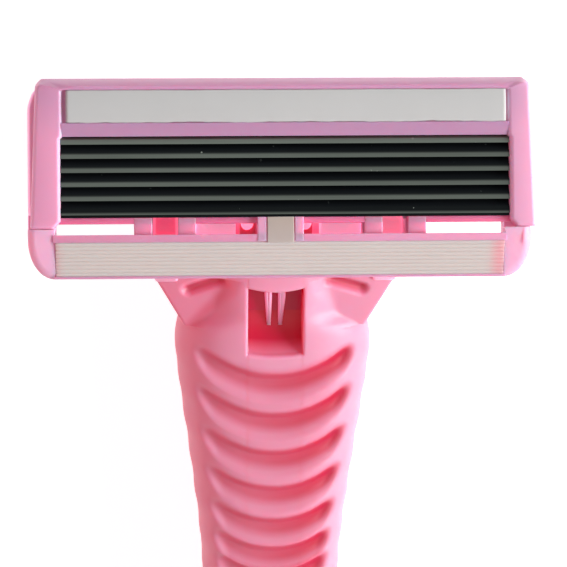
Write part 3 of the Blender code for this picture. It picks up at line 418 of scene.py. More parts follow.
def shader_with(finish: "Finish", group: Tree) -> tuple:
    """A material whose Principled shader takes colour, roughness and a fine bump from a group.

    Args:
        finish: the finish, whose fields have the names of the group's inputs.
        group: the node group, with outputs Colour, Roughness and Height.

    Returns:
        The material, the group node and the shader node.
    """
    material = bpy.data.materials.new(finish.name)
    material.use_nodes = True
    tree = material.node_tree
    shader = tree.nodes["Principled BSDF"]
    effect = tree.nodes.new("ShaderNodeGroup")
    effect.node_tree = group
    for socket in effect.inputs:
        value = getattr(finish, socket.name.lower().replace(" ", "_"))
        socket.default_value = (*value, 1.0) if isinstance(value, tuple) else value
    ridge = tree.nodes.new("ShaderNodeBump")
    ridge.inputs["Strength"].default_value = finish.bump
    ridge.inputs["Distance"].default_value = 0.02 * MM
    tree.links.new(effect.outputs["Colour"], shader.inputs["Base Color"])
    tree.links.new(effect.outputs["Roughness"], shader.inputs["Roughness"])
    tree.links.new(effect.outputs["Height"], ridge.inputs["Height"])
    tree.links.new(ridge.outputs["Normal"], shader.inputs["Normal"])
    return material, effect, shader


@dataclass(frozen=True)
class PlasticFinish:
    """A moulded plastic or elastomer."""

    name: str
    slot: str
    colour: tuple
    # deep_colour paints shade where the depth mark is set, rim_colour paints a highlight where the rim mark
    # is set
    deep_colour: tuple
    rim_colour: tuple
    rim_share: float = 0.6
    mottle: float = 0.08
    roughness: float = 0.42
    grain: float = 0.6
    bump: float = 0.12
    glow: float = 1.0
    glow_reach: tuple = (1.1, 0.3, 0.42)
    shine: float = 0.4
    # backlight tints an emitted painted glow; hollow_shade is painted shade in the deepest hollows
    backlight: tuple = (0.0, 0.0, 0.0)
    backlight_share: float = 0.0
    deep_share: float = 1.0
    hollow_shade: float = 0.0

    def material(self) -> bpy.types.Material:
        """Builds the material."""
        material, effect, shader = shader_with(self, moulding_group())
        shader.inputs["Subsurface Weight"].default_value = self.glow
        shader.inputs["Subsurface Radius"].default_value = self.glow_reach
        shader.inputs["Subsurface Scale"].default_value = MM
        shader.inputs["Specular IOR Level"].default_value = self.shine
        # the emission is the painted glow
        shader.inputs["Emission Strength"].default_value = 1.0
        material.node_tree.links.new(effect.outputs["Glow"], shader.inputs["Emission Color"])
        return material


@dataclass(frozen=True)
class SteelFinish:
    """A ground or stamped steel."""

    name: str
    slot: str
    colour: tuple
    speck_colour: tuple
    # dark_colour is painted shade, laid where the depth mark is set
    dark_colour: tuple = (0.01, 0.01, 0.01)
    line_contrast: float = 0.3
    roughness: float = 0.3
    bump: float = 0.1

    def material(self) -> bpy.types.Material:
        """Builds the material."""
        material, _, shader = shader_with(self, steel_group())
        shader.inputs["Metallic"].default_value = 1.0
        return material


Finish = Union[PlasticFinish, SteelFinish]


def shades(*colours: tuple) -> list:
    """Display colours, 0 to 255, as linear shares."""
    value = np.array(colours) / 255
    linear = np.where(value <= 0.04045, value / 12.92, ((value + 0.055) / 1.055) ** 2.4)
    return [tuple(row) for row in linear.tolist()]


# The pink and mauve finishes below emit a painted glow tinted by their backlight, and their deep colours are
# painted shade.
HANDLE_PINK = PlasticFinish(
    "handle pink",
    "handle_pink",
    *shades((212, 163, 189), (194, 28, 73), (255, 214, 234)),
    backlight=(0.33, 0.02, 0.03),
    backlight_share=1.0,
    hollow_shade=0.12,
)
HINGE_PINK = PlasticFinish(
    "hinge pink",
    "handle_pink",
    *shades((250, 176, 202), (236, 102, 138), (255, 200, 222)),
    backlight=(0.5, 0.44, 0.48),
    backlight_share=0.2,
)
HEAD_PINK = PlasticFinish(
    "head pink",
    "head_pink",
    *shades((252, 184, 213), (228, 112, 152), (252, 214, 234)),
    backlight=(0.5, 0.4, 0.45),
    backlight_share=0.15,
    deep_share=0.3,
)
COVER_MAUVE = PlasticFinish(
    "cover mauve",
    "cover_mauve",
    *shades((232, 164, 197), (194, 148, 182), (246, 212, 238)),
    rim_share=0.9,
    glow=0.7,
    backlight=(0.06, 0.02, 0.03),
    backlight_share=1.0,
)
STRIP_WHITE = PlasticFinish(
    "strip white",
    "strip_white",
    *shades((202, 202, 201), (190, 186, 180), (222, 221, 218)),
    mottle=0.10,
    roughness=0.62,
    grain=1.0,
    bump=0.35,
    glow=0.3,
    glow_reach=(0.5, 0.45, 0.4),
)
GUARD_WHITE = PlasticFinish(
    "guard white",
    "guard_white",
    *shades((217, 206, 202), (240, 160, 172), (232, 222, 218)),
    rim_share=0.5,
    mottle=0.06,
    roughness=0.55,
    glow=0.6,
    glow_reach=(1.0, 0.7, 0.6),
)
# A darker copy of the guard's white, painted shade on the tab.
TAB_WHITE_IN_SHADE = PlasticFinish(
    "tab white in shade",
    "guard_white",
    *shades((196, 182, 177), (172, 152, 128), (214, 200, 196)),
    rim_share=0.3,
    roughness=0.55,
    glow=0.4,
    glow_reach=(1.0, 0.7, 0.6),
)
PLUNGER_PINK = PlasticFinish(
    "plunger pink",
    "plunger_pink",
    *shades((244, 150, 186), (186, 30, 76), (255, 214, 232)),
    backlight=(0.62, 0.36, 0.42),
    backlight_share=0.16,
    deep_share=0.3,
)
# The blade's third colour is painted shade, on its shanks and on the bar under the last blade.
BLADE_STEEL = SteelFinish(
    "blade steel", "blade_steel", *shades((106, 113, 106), (124, 130, 124), (24, 27, 28))
)
SUPPORT_STEEL = SteelFinish(
    "support steel", "support_steel", *shades((26, 29, 32), (60, 64, 64)), roughness=0.42
)
SPRING_STEEL = SteelFinish("spring steel", "spring_steel", *shades((170, 172, 170), (220, 220, 220)))


# Making pieces


def mesh_of(name: str, skin: Surface, merged: bool = False) -> bpy.types.Mesh:
    """A mesh in metres from a skin in world millimetres, with its marks and its faces turned outwards.

    Args:
        name: the mesh's name.
        skin: its points, faces and marks.
        merged: whether points that coincide are made one.

    Returns:
        The mesh.
    """
    mesh = bpy.data.meshes.new(name)
    faces = [face for block in skin.faces for face in block.tolist()]
    mesh.from_pydata((skin.points * MM).tolist(), [], faces)
    for label, values in (("rim", skin.rim), ("depth", skin.depth)):
        mark = mesh.attributes.new(label, "FLOAT", "POINT")
        mark.data.foreach_set("value", np.clip(values, 0.0, 1.0).astype(np.float32))
    shape = bmesh.new()
    shape.from_mesh(mesh)
    if merged:
        bmesh.ops.remove_doubles(shape, verts=shape.verts, dist=1e-7)
        bmesh.ops.dissolve_degenerate(shape, edges=shape.edges, dist=1e-7)
    bmesh.ops.recalc_face_normals(shape, faces=shape.faces)
    shape.to_mesh(mesh)
    shape.free()
    return mesh


class Maker:
    """Turns skins into pieces and keeps one material for each finish."""

    def __init__(self) -> None:
        """Starts with no materials made."""
        self.made = {}

    def finish(self, finish: Finish) -> bpy.types.Material:
        """The material of a finish, built once."""
        if finish.name not in self.made:
            self.made[finish.name] = finish.material()
        return self.made[finish.name]

    def piece(
        self, name: str, skin: Surface, finish: Finish, body: Body, nodes: tuple = (), sharp: float = 35.0
    ) -> bpy.types.Object:
        """Makes a piece from a skin.

        Args:
            name: the piece's name.
            skin: its points and faces in world millimetres.
            finish: its finish.
            body: the body it rides on.
            nodes: the solids it stands for.
            sharp: corners over this many degrees stay sharp.

        Returns:
            The new object.
        """
        mesh = mesh_of(name, skin)
        mesh.shade_smooth()
        mesh.set_sharp_from_angle(angle=math.radians(sharp))
        mesh.materials.append(self.finish(finish))
        item = bpy.data.objects.new(name, mesh)
        bpy.context.scene.collection.objects.link(item)
        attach(item, body.value)
        if nodes:
            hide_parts(*nodes)
        LOG.info("%s: %d faces", name, len(mesh.polygons))
        return item

    def dress(self, node: str, finish: Finish) -> None:
        """Gives a solid of the frame a finish."""
        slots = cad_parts[node].data.materials
        slots.clear()
        slots.append(self.finish(finish))


def cut(item: bpy.types.Object, outline: Array, low: float, high: float, hair: float = 0.01) -> None:
    """Cuts a straight channel into a piece on the handle and marks what it touches as deep, painted shade.

    Args:
        item: the piece.
        outline: the channel's side view, as (back, height).
        low: one end across the handle.
        high: the other end.
        hair: how far from the channel a point still counts as touched.
    """
    skin = along_handle(slab(outline, low, high, 0.0, steps=1)).marked(rim=0.0, depth=1.0)
    cutter = mesh_of("channel", skin, merged=True)
    channel = bpy.data.objects.new("channel", cutter)
    bpy.context.scene.collection.objects.link(channel)
    step = item.modifiers.new("channel", "BOOLEAN")
    step.operation = "DIFFERENCE"
    step.object = channel
    step.solver = "EXACT"
    graph = bpy.context.evaluated_depsgraph_get()
    result = bpy.data.meshes.new_from_object(item.evaluated_get(graph))
    item.modifiers.remove(step)
    result.set_sharp_from_angle(angle=math.radians(35.0))
    place = np.empty(len(result.vertices) * 3)
    result.vertices.foreach_get("co", place)
    place = place.reshape(-1, 3) / MM
    near = np.all((place > skin.points.min(axis=0) - hair) & (place < skin.points.max(axis=0) + hair), axis=1)
    depth = result.attributes["depth"].data
    values = np.empty(len(place), np.float32)
    depth.foreach_get("value", values)
    depth.foreach_set("value", np.where(near, 1.0, values).astype(np.float32))
    old, name = item.data, item.data.name
    item.data = result
    bpy.data.objects.remove(channel, do_unlink=True)
    for mesh in (cutter, old):
        bpy.data.meshes.remove(mesh)
    item.data.name = name


# Head


@dataclass
class FacePlan:
    """Levels up the shaving face and half widths across it."""

    cover_top: float = 8.1
    strip_top: float = 6.97
    strip_bottom: float = 4.30
    field_top: float = 3.21
    field_bottom: float = -3.38
    window_top: float = -3.86
    window_bottom: float = -4.78
    guard_top: float = -5.38
    guard_bottom: float = -8.15
    head_bottom: float = -8.35
    arm_foot: float = -4.26
    field_half: float = 18.34
    pocket_half: float = 18.16
    arm_half: float = 20.2
    arm_flare: float = 0.44
    cover_shift: float = 0.3
    field_shift: float = 0.45
    housing_half: float = 20.6
    tab_half: float = 1.08
    tab_post: float = 1.88
    inner_post: float = 6.88
    post_width: float = 1.5
    lug_start: float = 8.38
    lug_end: float = 10.44

    def guard_out(self, up: Array) -> Array:
        """How far out the guard's slope lies at a level of the face."""
        return -0.4 - 1.06 * (self.guard_top - up) / (self.guard_top - self.head_bottom)


PLAN = FacePlan()


@dataclass
class CoverFrame:
    """The frame clipped over the head: two arms and a top rail in one band, a lower rail, a pocket floor."""

    arm_inner_round: float = 0.32
    arm_outer_round: float = 0.42
    rail_round: float = 0.14
    cap_round: float = 0.85
    cap_fall: float = 1.9
    cap_depth: float = 4.8
    wall: float = 1.2
    pocket: float = 0.9
    pocket_round: float = 0.12
    corner_run: float = 0.55
    corner_rise: float = 1.0
    foot_round: float = 0.3
    relief: float = 0.6
    arm_rows: int = 72
    corner_rows: int = 14
    rail_rows: int = 24
    furthest: float = 13.02
    right_highlight: float = 0.22
    rail_tone: float = 0.55

    def band_edges(self) -> tuple:
        """Inner and outer edge of the band from the right arm's foot to the top middle.

        Returns:
            Inner points, outer points (both as across, up), how much of the rail's section each row has,
            and how far each row is drawn back at the foot.
        """
        foot, top = PLAN.arm_foot, PLAN.strip_top
        drop = np.linspace(0.0, QUARTER, 6)
        rise = self.foot_round * (1 - np.cos(drop))
        sunk = self.foot_round * (1 - np.sin(drop))
        levels = np.concatenate([foot + rise, np.linspace(foot + self.relief, top - 0.5, self.arm_rows)])
        inner_x = np.interp(
            levels,
            [foot, foot + self.relief, PLAN.field_top - 0.15, PLAN.field_top],
            [PLAN.field_half + self.relief, PLAN.field_half, PLAN.field_half, PLAN.pocket_half],
        )
        outer_x = PLAN.arm_half + PLAN.arm_flare * ((top - levels) / (top - foot))
        turn = np.linspace(0.0, QUARTER, self.corner_rows)
        across = np.linspace(PLAN.pocket_half - 0.5, 0.0, self.rail_rows)
        edges = []
        for side, start, run, corner_rise, level in (
            (inner_x, PLAN.pocket_half, self.pocket_round, self.pocket_round, top),
            (outer_x, PLAN.arm_half, self.corner_run, self.corner_rise, PLAN.cover_top),
        ):
            arm = np.column_stack([side, levels])
            corner_x, corner_up = start - run * (1 - np.cos(turn)), level - corner_rise * (1 - np.sin(turn))
            rail = np.column_stack([across, np.full(self.rail_rows, level)])
            edges.append(np.concatenate([arm, np.column_stack([corner_x, corner_up]), rail]))
        share = np.concatenate([np.zeros(len(levels)), smoothstep(turn / 1.1), np.ones(self.rail_rows)])
        return *edges, share, np.pad(sunk, (0, len(share) - len(sunk)))

    def sections(self) -> tuple:
        """The arm's and the rail's section, as points whose first eight are counted from the inner edge.

        Returns:
            Offset and out for the arm, and the same two for the rail.
        """
        angle = np.linspace(0.0, QUARTER, 6)
        bend_in, bend_out = 1 - np.cos(angle), 1 - np.sin(angle)
        cap_in, cap_out = 1 - np.cos(angle) ** 1.5, 1 - np.sin(angle) ** 1.5
        inner, outer, rail = self.arm_inner_round, self.arm_outer_round, self.rail_round
        wall, back = -self.wall, -self.cap_depth
        return tuple(
            np.concatenate(parts)
            for parts in (
                ([0.0, 0.0], inner * bend_in, outer * bend_in[::-1], [0.0] * 4),
                ([wall, -0.8], -inner * bend_out, -outer * bend_out[::-1], [-0.6, -0.8, -1.0, wall]),
                ([0.0, 0.0], rail * bend_in, self.cap_round * cap_in[::-1], [0.0, 0.06, 0.25, 0.55]),
                (
                    [wall, -self.pocket],
                    -rail * bend_out,
                    -self.cap_fall * cap_out[::-1],
                    [back + 0.5, back + 0.18, back + 0.02, back],
                ),
            )
        )

    def band(self) -> Surface:
        """The arms and the top rail as one profile carried round the head.

        Each row joins an inner and an outer edge point. Each column lies at a fixed offset from one of the
        two edges, along the line between them, and at a depth; both pass from the arm's section to the
        rail's as the path turns the corner.
        """
        inner, outer, share, sunk = self.band_edges()
        inner = np.concatenate([inner, (inner[:-1] * (-1, 1))[::-1]]) + (PLAN.field_shift, 0.0)
        outer = np.concatenate([outer, (outer[:-1] * (-1, 1))[::-1]]) + (PLAN.cover_shift, 0.0)
        share, sunk = (np.concatenate([part, part[:-1][::-1]])[:, None] for part in (share, sunk))
        arm_offset, arm_out, rail_offset, rail_out = self.sections()
        offset = (arm_offset * (1 - share) + rail_offset * share)[..., None]
        depth = arm_out * (1 - share) + rail_out * share
        line = outer - inner
        line = (line / np.linalg.norm(line, axis=1, keepdims=True))[:, None]
        counted_inner = (np.arange(offset.shape[1]) < 8)[None, :, None]
        plan = np.where(counted_inner, inner[:, None] + line * offset, outer[:, None] - line * offset)
        depth = np.maximum(depth - sunk, np.minimum(depth, -self.wall)) - 0.05 * (1 - share)
        reach = (self.furthest - (plan[..., 1] - HEAD.hinge_up) * math.cos(HEAD.tilt)) / math.sin(HEAD.tilt)
        depth = np.minimum(depth, reach + HEAD.hinge_out)
        # Painted highlight: rim marks along the rounded edges of the arms, and more over the whole right arm.
        rim = np.zeros(depth.shape)
        rim[:, 2:6] = (0.75, 1.0, 0.8, 0.4)
        rim[:, 9:13] = (0.3, 0.6, 0.75, 0.6)
        rim = (rim + self.right_highlight * (plan[..., 0] > 0)) * (1 - share)
        tone = self.rail_tone * smoothstep((plan[..., 1] - 2.6) / 4.2)
        points = np.concatenate([plan, depth[..., None]], axis=-1)
        return facing_head(Surface.of(points, tube_faces(*depth.shape), rim=rim, depth=tone))

    def filling(self, outline: Array, extra: float, rim: float, soft: float = 0.0) -> Surface:
        """A bar across the pocket that laps into the arms by some extra."""
        reach = PLAN.pocket_half + extra
        return along_head(slab(outline, PLAN.field_shift - reach, PLAN.field_shift + reach, rim, soft=soft))

    def build(self, maker: Maker) -> None:
        """Makes the cover frame: the band, the sloping rail over the first blade and the pocket's floor."""
        rail = [
            (PLAN.strip_bottom, -self.pocket - 0.3),
            (PLAN.strip_bottom, -0.02),
            (PLAN.field_top + 0.16, -0.27),
            (PLAN.field_top, -0.36),
            (PLAN.field_top, -0.5),
            (PLAN.strip_bottom - 0.3, -1.1),
        ]
        rail = self.filling(np.array(rail), extra=0.03, rim=0.0, soft=0.12).marked(rim=0.0, depth=1.0)
        floor = box_outline(PLAN.strip_bottom - 0.25, PLAN.strip_top + 0.3, -self.wall - 0.2, -0.4)
        floor = self.filling(floor, extra=0.3, rim=0.02).marked(rim=0.0)
        skin = joined([self.band(), rail, floor])
        maker.piece("cover_band", skin, COVER_MAUVE, Body.HEAD, ("cover_frame",))


@dataclass
class Strip:
    """The lubricating strip: a low bar with a crown and slightly uneven edges."""

    left: float = -17.38
    right: float = 18.42
    floor: float = -0.6
    crown: float = 0.12
    round: float = 0.09
    rows: int = 260
    unevenness: float = 0.022
    waves: tuple = (0.61, 0.97, 1.9, 3.3, 5.7)

    def skin(self) -> Surface:
        """A rounded box section carried along the head; its long edges waver by a sum of sines."""
        across = np.linspace(self.left, self.right, self.rows)
        ends = np.minimum(across - self.left, self.right - across)
        drawn = self.round * (1 - np.sqrt(1 - (1 - np.clip(ends / self.round, 0.0, 1.0)) ** 2))
        low, high = PLAN.strip_bottom + 0.02, PLAN.strip_top - 0.02
        turn = np.linspace(0.0, QUARTER, 5)
        bend = self.round * (1 - np.cos(turn)) / (high - low)
        share = np.concatenate([[0.0], bend, np.linspace(0.12, 0.88, 9)])
        share = np.concatenate([share, 1 - share[:6][::-1]])
        top = np.concatenate([[self.floor], -self.round * (1 - np.sin(turn)), np.zeros(9)])
        top = np.concatenate([top, top[:6][::-1]])
        above = np.ones(len(share))
        above[[0, -1]] = 0.0
        number = np.arange(len(self.waves))
        sines = np.sin(across[:, None] * self.waves + number * 1.7) / (1 + number * 0.4)
        waver = self.unevenness * sines.sum(axis=1)
        edge = np.where(share < 0.5, 1 - 2 * share, 0.35 * (1 - 2 * share))
        up = low + (high - low) * share + waver[:, None] * edge
        out = top + self.crown * np.sin(np.pi * share) * above - drawn[:, None] * above
        x = np.repeat(across[:, None], len(share), axis=1)
        return facing_head(Surface.of(np.stack([x, up, out], axis=-1), tube_faces(self.rows, len(share))))

    def build(self, maker: Maker) -> None:
        """Makes the strip."""
        maker.piece("strip_bar", self.skin(), STRIP_WHITE, Body.HEAD, ("lubricating_strip",), sharp=60.0)


@dataclass
class Blades:
    """Six blades, each with a shank, a ground bevel and a fine cutting bevel on both sides."""

    count: int = 6
    first_drop: float = 0.62
    pitch: float = 1.15
    edge_depth: float = 0.6
    angle: float = math.radians(22.0)
    width: float = 0.62
    half_thickness: float = 0.06
    bevel: float = 0.42
    ground: float = 0.37
    shade: float = 0.3
    fine_bevel: float = 0.13
    fine_half: float = 0.028
    half_length: float = 18.94
    bar_depth: float = 0.9

    def skin(self, index: int) -> Surface:
        """One blade: its section turned by the blade angle and carried along the head."""
        edge = PLAN.field_top - self.first_drop - self.pitch * index
        along = np.array([0.0, self.fine_bevel, 0.25, 0.31, self.ground, self.bevel, 0.5, self.width])
        stops, heights = [0.0, self.fine_bevel, self.bevel], [0.0, self.fine_half, self.half_thickness]
        above = np.interp(along, stops, heights)
        along = np.concatenate([along, along[:0:-1]])
        above = np.concatenate([above, -above[:0:-1]])
        cosine, sine = math.cos(self.angle), math.sin(self.angle)
        up = edge + along * cosine + above * sine
        out = -self.edge_depth - along * sine + above * cosine
        reach = self.fine_bevel if index == self.count - 1 else self.ground
        # Painted shade: the shank darkens towards its back while the edge bevel stays light; the first blade
        # is darkened only a little, evenly.
        shank = self.shade + (1 - self.shade) * smoothstep((along / reach - 0.7) / 0.6)
        if index == 0:
            shank = np.full(len(along), self.shade / 3)
        ends = (-self.half_length, self.half_length)
        rows = [np.stack([np.full(len(along), end), up, out], axis=-1) for end in ends]
        return facing_head(Surface.of(np.stack(rows), tube_faces(2, len(along)), depth=shank))

    def bar(self) -> Surface:
        """A dark bar under the last blade, painted shade in the gap below it."""
        edge = PLAN.field_top - self.first_drop - self.pitch * (self.count - 1)
        outline = box_outline(PLAN.field_bottom + 0.01, edge + 0.15, -1.5, -self.bar_depth)
        reach = PLAN.field_half + PLAN.field_shift + 0.1
        return along_head(slab(outline, -reach, reach, 0.02).marked(rim=0.0, depth=1.0))

    def build(self, maker: Maker) -> None:
        """Makes the blades and dresses their supports."""
        skins = [self.skin(index) for index in range(self.count)]
        skins[-1] = joined([skins[-1], self.bar()])
        for number, skin in enumerate(skins, start=1):
            name, node = f"ground_blade_{number}", f"blade_{number}"
            maker.piece(name, skin, BLADE_STEEL, Body.HEAD, (node,), sharp=4.0)
            maker.dress(f"blade_support_{number}", SUPPORT_STEEL)


@dataclass
class Guard:
    """The soft guard: rounded fins on a slope, and the tab that runs up to the blades."""

    fins: int = 9
    fin_height: float = 0.075
    points_per_fin: int = 10
    floor: float = 0.6
    half: float = 18.32

    def skin(self) -> Surface:
        """A comb section carried along the head, whose fins are |sin| humps on the guard's slope."""
        low, high = PLAN.guard_bottom + 0.02, PLAN.guard_top - 0.02
        share = np.linspace(0.0, 1.0, self.fins * self.points_per_fin + 1)
        up = low + (high - low) * share
        hump = np.abs(np.sin(np.pi * self.fins * share)) ** 0.7
        out = PLAN.guard_out(up) - self.fin_height * (1 - hump)
        base = PLAN.guard_out(PLAN.guard_bottom) - self.floor
        outline = np.concatenate([np.stack([up, out], axis=1), [(high, base), (low, base)]])
        skin = slab(outline, -self.half, self.half, 0.04, between=90)
        across = skin.points[:, 2]
        skin.depth = 0.75 * (smoothstep((across - 16.8) / 1.2) + 0.5 * smoothstep((-17.7 - across) / 0.5))
        return along_head(skin)

    def tab(self) -> Surface:
        """The tab between the windows."""
        outline = box_outline(-PLAN.tab_half, PLAN.tab_half, PLAN.guard_top - 0.1, PLAN.field_bottom)
        skin = slab(outline, -1.0, -0.24, 0.04)
        # Painted shade: the tab deepens towards the blades.
        skin.depth = 0.35 * smoothstep((skin.points[:, 1] - PLAN.window_top) / 0.5)
        return facing_head(skin)

    def build(self, maker: Maker) -> None:
        """Makes the guard and its tab."""
        maker.piece("finned_guard", self.skin(), GUARD_WHITE, Body.HEAD, ("guard_fins",), sharp=50.0)
        maker.piece("guard_tab", self.tab(), TAB_WHITE_IN_SHADE, Body.HEAD, sharp=50.0)


@dataclass
class Housing:
    """The moulded housing behind the cover: end walls, guard tray, sill, posts, ears, cap bar and cam."""

    depth: float = 6.4
    corner_rise: float = 3.1
    corner_run: float = 2.1
    foot_depth: float = 2.6
    pillow: float = 0.75
    sill_out: float = -0.8
    sill_back: float = -2.2
    tray_floor: float = -2.28
    bar_depth: float = 4.5
    ear_radius: float = 1.5
    rib_front: float = -4.2
    plate_half: float = 7.63
    notch_half: float = 3.57
    wedge_ahead: float = 1.2
    wedge_levels: tuple = (-0.8, -4.2)
    cam_front: float = 1.8
    cam_back: float = -0.8
    notch_low: float = 0.65
    skirt_low: float = -0.85
    cam_highlight: float = 0.95

    def end_wall(self) -> Surface:
        """The right end wall behind the cover's arm, with its outer edge rounded, and its shallower foot."""
        inner, outer, top = PLAN.field_half + PLAN.field_shift + 0.05, PLAN.housing_half, PLAN.cover_top - 0.9
        outline = [(inner, PLAN.field_bottom), (outer, PLAN.field_bottom), (outer, PLAN.strip_bottom + 1.5)]
        wall = slab(outline + [(outer - 0.5, top), (inner, top)], -self.depth, -1.25, 0.3, soft=0.5)
        foot = box_outline(PLAN.field_half, outer, PLAN.arm_foot - 0.65, PLAN.field_bottom + 0.3)
        return joined([wall, slab(foot, -self.foot_depth, -1.25, 0.1)])

    def corner(self) -> Surface:
        """The right lower corner: a pillow on the guard's slope, from the arm's foot to the rim."""
        inner, foot, top = PLAN.field_half + 0.02, PLAN.head_bottom, PLAN.arm_foot - 0.06
        centre = (PLAN.housing_half - self.corner_run, foot + self.corner_rise)
        curve = arc(centre, (self.corner_run, self.corner_rise), -90, 0, 16)
        outline = np.concatenate([[(inner, top), (inner, foot)], curve, [(PLAN.housing_half, top)]])
        angle = np.linspace(QUARTER, 0.0, 9)
        out = np.append(-4.9, -self.pillow * (1 - np.cos(angle)))
        rings = inset(outline, np.append(0.0, self.pillow * (1 - np.sin(angle))))
        fixed_side = outline[:, 0] < inner + 0.03
        fixed_top = outline[:, 1] > top - 0.01
        rings[:, fixed_side, 0] = outline[fixed_side, 0]
        rings[:, fixed_top, 1] = top
        rings[0, fixed_top, 1] = PLAN.window_bottom - 0.6
        fall = np.interp(rings[..., 1], [foot, PLAN.guard_top, top], [-1.5, -0.42, -0.3])
        depth = out[:, None] + fall * (1 + out[:, None] / 4.9)
        return Surface.of(np.concatenate([rings, depth[..., None]], axis=-1), tube_faces(*depth.shape))

    def ends(self) -> list:
        """Both end walls and both lower corners."""
        skins = []
        for skin in (self.end_wall(), self.corner()):
            skins += [facing_head(skin), facing_head(replace(skin, points=skin.points * (-1, 1, 1)))]
        return skins

    def tray(self) -> Surface:
        """The guard's tray with its rim below and the rail above."""
        low = PLAN.guard_out(PLAN.head_bottom)
        outline = [
            (PLAN.head_bottom, low),
            (PLAN.guard_bottom + 0.02, low + 0.06),
            (PLAN.guard_bottom + 0.02, self.tray_floor),
            (PLAN.guard_top - 0.02, self.tray_floor),
            (PLAN.guard_top - 0.02, -0.42),
            (PLAN.window_bottom, -0.3),
            (PLAN.window_bottom, -self.bar_depth),
            (PLAN.guard_top, -self.bar_depth - 0.7),
            (PLAN.head_bottom, -self.bar_depth + 1.0),
        ]
        reach = PLAN.field_half + 0.15
        # Painted shade: the tray takes some of the deep colour.
        return along_head(slab(outline, -reach, reach, 0.02, soft=0.07)).marked(rim=0.0, depth=0.45)

    def sills(self) -> list:
        """The narrow bar under the last blade, open where the handle's arms pass."""
        low, high, step = PLAN.window_top, PLAN.field_bottom, PLAN.field_bottom + 0.5
        outline = [(low, self.sill_out), (high, self.sill_out), (high, -1.5), (step, -1.5)]
        outline += [(step, self.sill_back), (low, self.sill_back)]
        reach = PLAN.field_half + PLAN.field_shift + 0.1
        spans = ((-reach, -PLAN.lug_end), (-PLAN.lug_start, PLAN.lug_start), (PLAN.lug_end, reach))
        bars = [along_head(slab(outline, *span, 0.03, soft=0.07)) for span in spans]
        # Painted shade: the sills take the deep colour, and glow as hollows do.
        return [bar.marked(rim=0.0, depth=1.0) for bar in bars]

    def ears(self) -> list:
        """The four posts of the guard carried back to round ears on the hinge."""
        front, seat = self.sill_out + 0.05, PLAN.strip_bottom + 0.3
        ear = arc((HEAD.hinge_up, HEAD.hinge_out), (self.ear_radius, self.ear_radius), 180, 300, 14)
        outline = np.concatenate(
            [
                [(PLAN.field_bottom, front), (PLAN.guard_top, front)],
                [(HEAD.hinge_up - self.ear_radius, -self.bar_depth)],
                ear,
                [(seat, -self.depth), (seat, self.rib_front), (PLAN.field_bottom, self.rib_front)],
            ]
        )
        outline = softened(outline, 0.1, 2)
        posts = []
        for start in (PLAN.inner_post, PLAN.lug_end):
            for span in both_sides(start, start + PLAN.post_width):
                # Painted shade over the posts, and a painted highlight and glow on their faces deeper than
                # 1.3 mm, which lie in shade.
                post = slab(outline, *span, 0.12).marked(rim=0.3, depth=0.65)
                post.rim = np.maximum(post.rim, 0.7 * smoothstep(-1.3 - post.points[:, 1]))
                posts.append(along_head(post))
        return posts

    def tab_frame(self) -> list:
        """The two slim posts beside the tab and the floor between them."""
        floor = box_outline(-PLAN.tab_post, PLAN.tab_post, PLAN.guard_top - 0.2, PLAN.field_bottom)
        # Painted shade: a little deep colour on the floor and the posts beside the tab.
        parts = [slab(floor, self.sill_back, -1.1, 0.02).marked(depth=0.3)]
        for span in both_sides(PLAN.tab_half + 0.08, PLAN.tab_post):
            side = box_outline(*span, PLAN.guard_top + 0.02, PLAN.field_bottom)
            parts.append(slab(side, -2.0, -0.28, 0.08).marked(rim=0.1, depth=0.3))
        return [facing_head(part) for part in parts]

    def cam(self) -> list:
        """The plate behind the blades with the wedge that the plunger presses, notched in the middle."""

        def at_hinge(ahead: float, above: float) -> tuple:
            """A point level with the table from the hinge, as up and out from the hinge."""
            cosine, sine = math.cos(HEAD.tilt), math.sin(HEAD.tilt)
            return ahead * cosine - above * sine, ahead * sine + above * cosine

        top, foot = (at_hinge(self.wedge_ahead, level) for level in self.wedge_levels)
        front, backing = self.cam_front, self.cam_back
        plate_top = PLAN.strip_bottom - HEAD.hinge_up - 3.3
        wedge = [(top[0], backing), foot, (foot[0] + 0.3, foot[1]), (plate_top, backing), (plate_top, front)]
        spans = [(self.notch_low, (-self.notch_half, self.notch_half))]
        spans += [(self.skirt_low, span) for span in both_sides(self.notch_half, self.plate_half)]
        parts = []
        for low, span in spans:
            outline = np.array([(low, front), (low, backing), *wedge]) + (HEAD.hinge_up, HEAD.hinge_out)
            part = along_head(slab(outline, *span, 0.12, soft=0.12))
            # Painted light: the whole plate takes the pale rim colour and glows, as seen through the windows.
            parts.append(replace(part, rim=np.full(len(part.rim), self.cam_highlight)))
        return parts

    def cap_bar(self) -> Surface:
        """The bar behind the cap that joins the end walls at the back."""
        low, high = PLAN.strip_bottom, PLAN.cover_top - 0.9
        outline = [(low, -self.depth), (low, -2.45), (high, -2.45), (high, -4.9), (high - 1.0, -self.depth)]
        reach = PLAN.housing_half - 0.35
        return along_head(slab(outline, -reach, reach, 0.25, soft=0.25)).marked(rim=0.3)

    def build(self, maker: Maker) -> None:
        """Makes the housing."""
        skins = self.ends() + [self.tray(), *self.sills(), *self.ears(), *self.tab_frame(), *self.cam()]
        skin = joined(skins + [self.cap_bar()])
        maker.piece("housing_moulding", skin, HEAD_PINK, Body.HEAD, ("cartridge_housing",))


# Handle

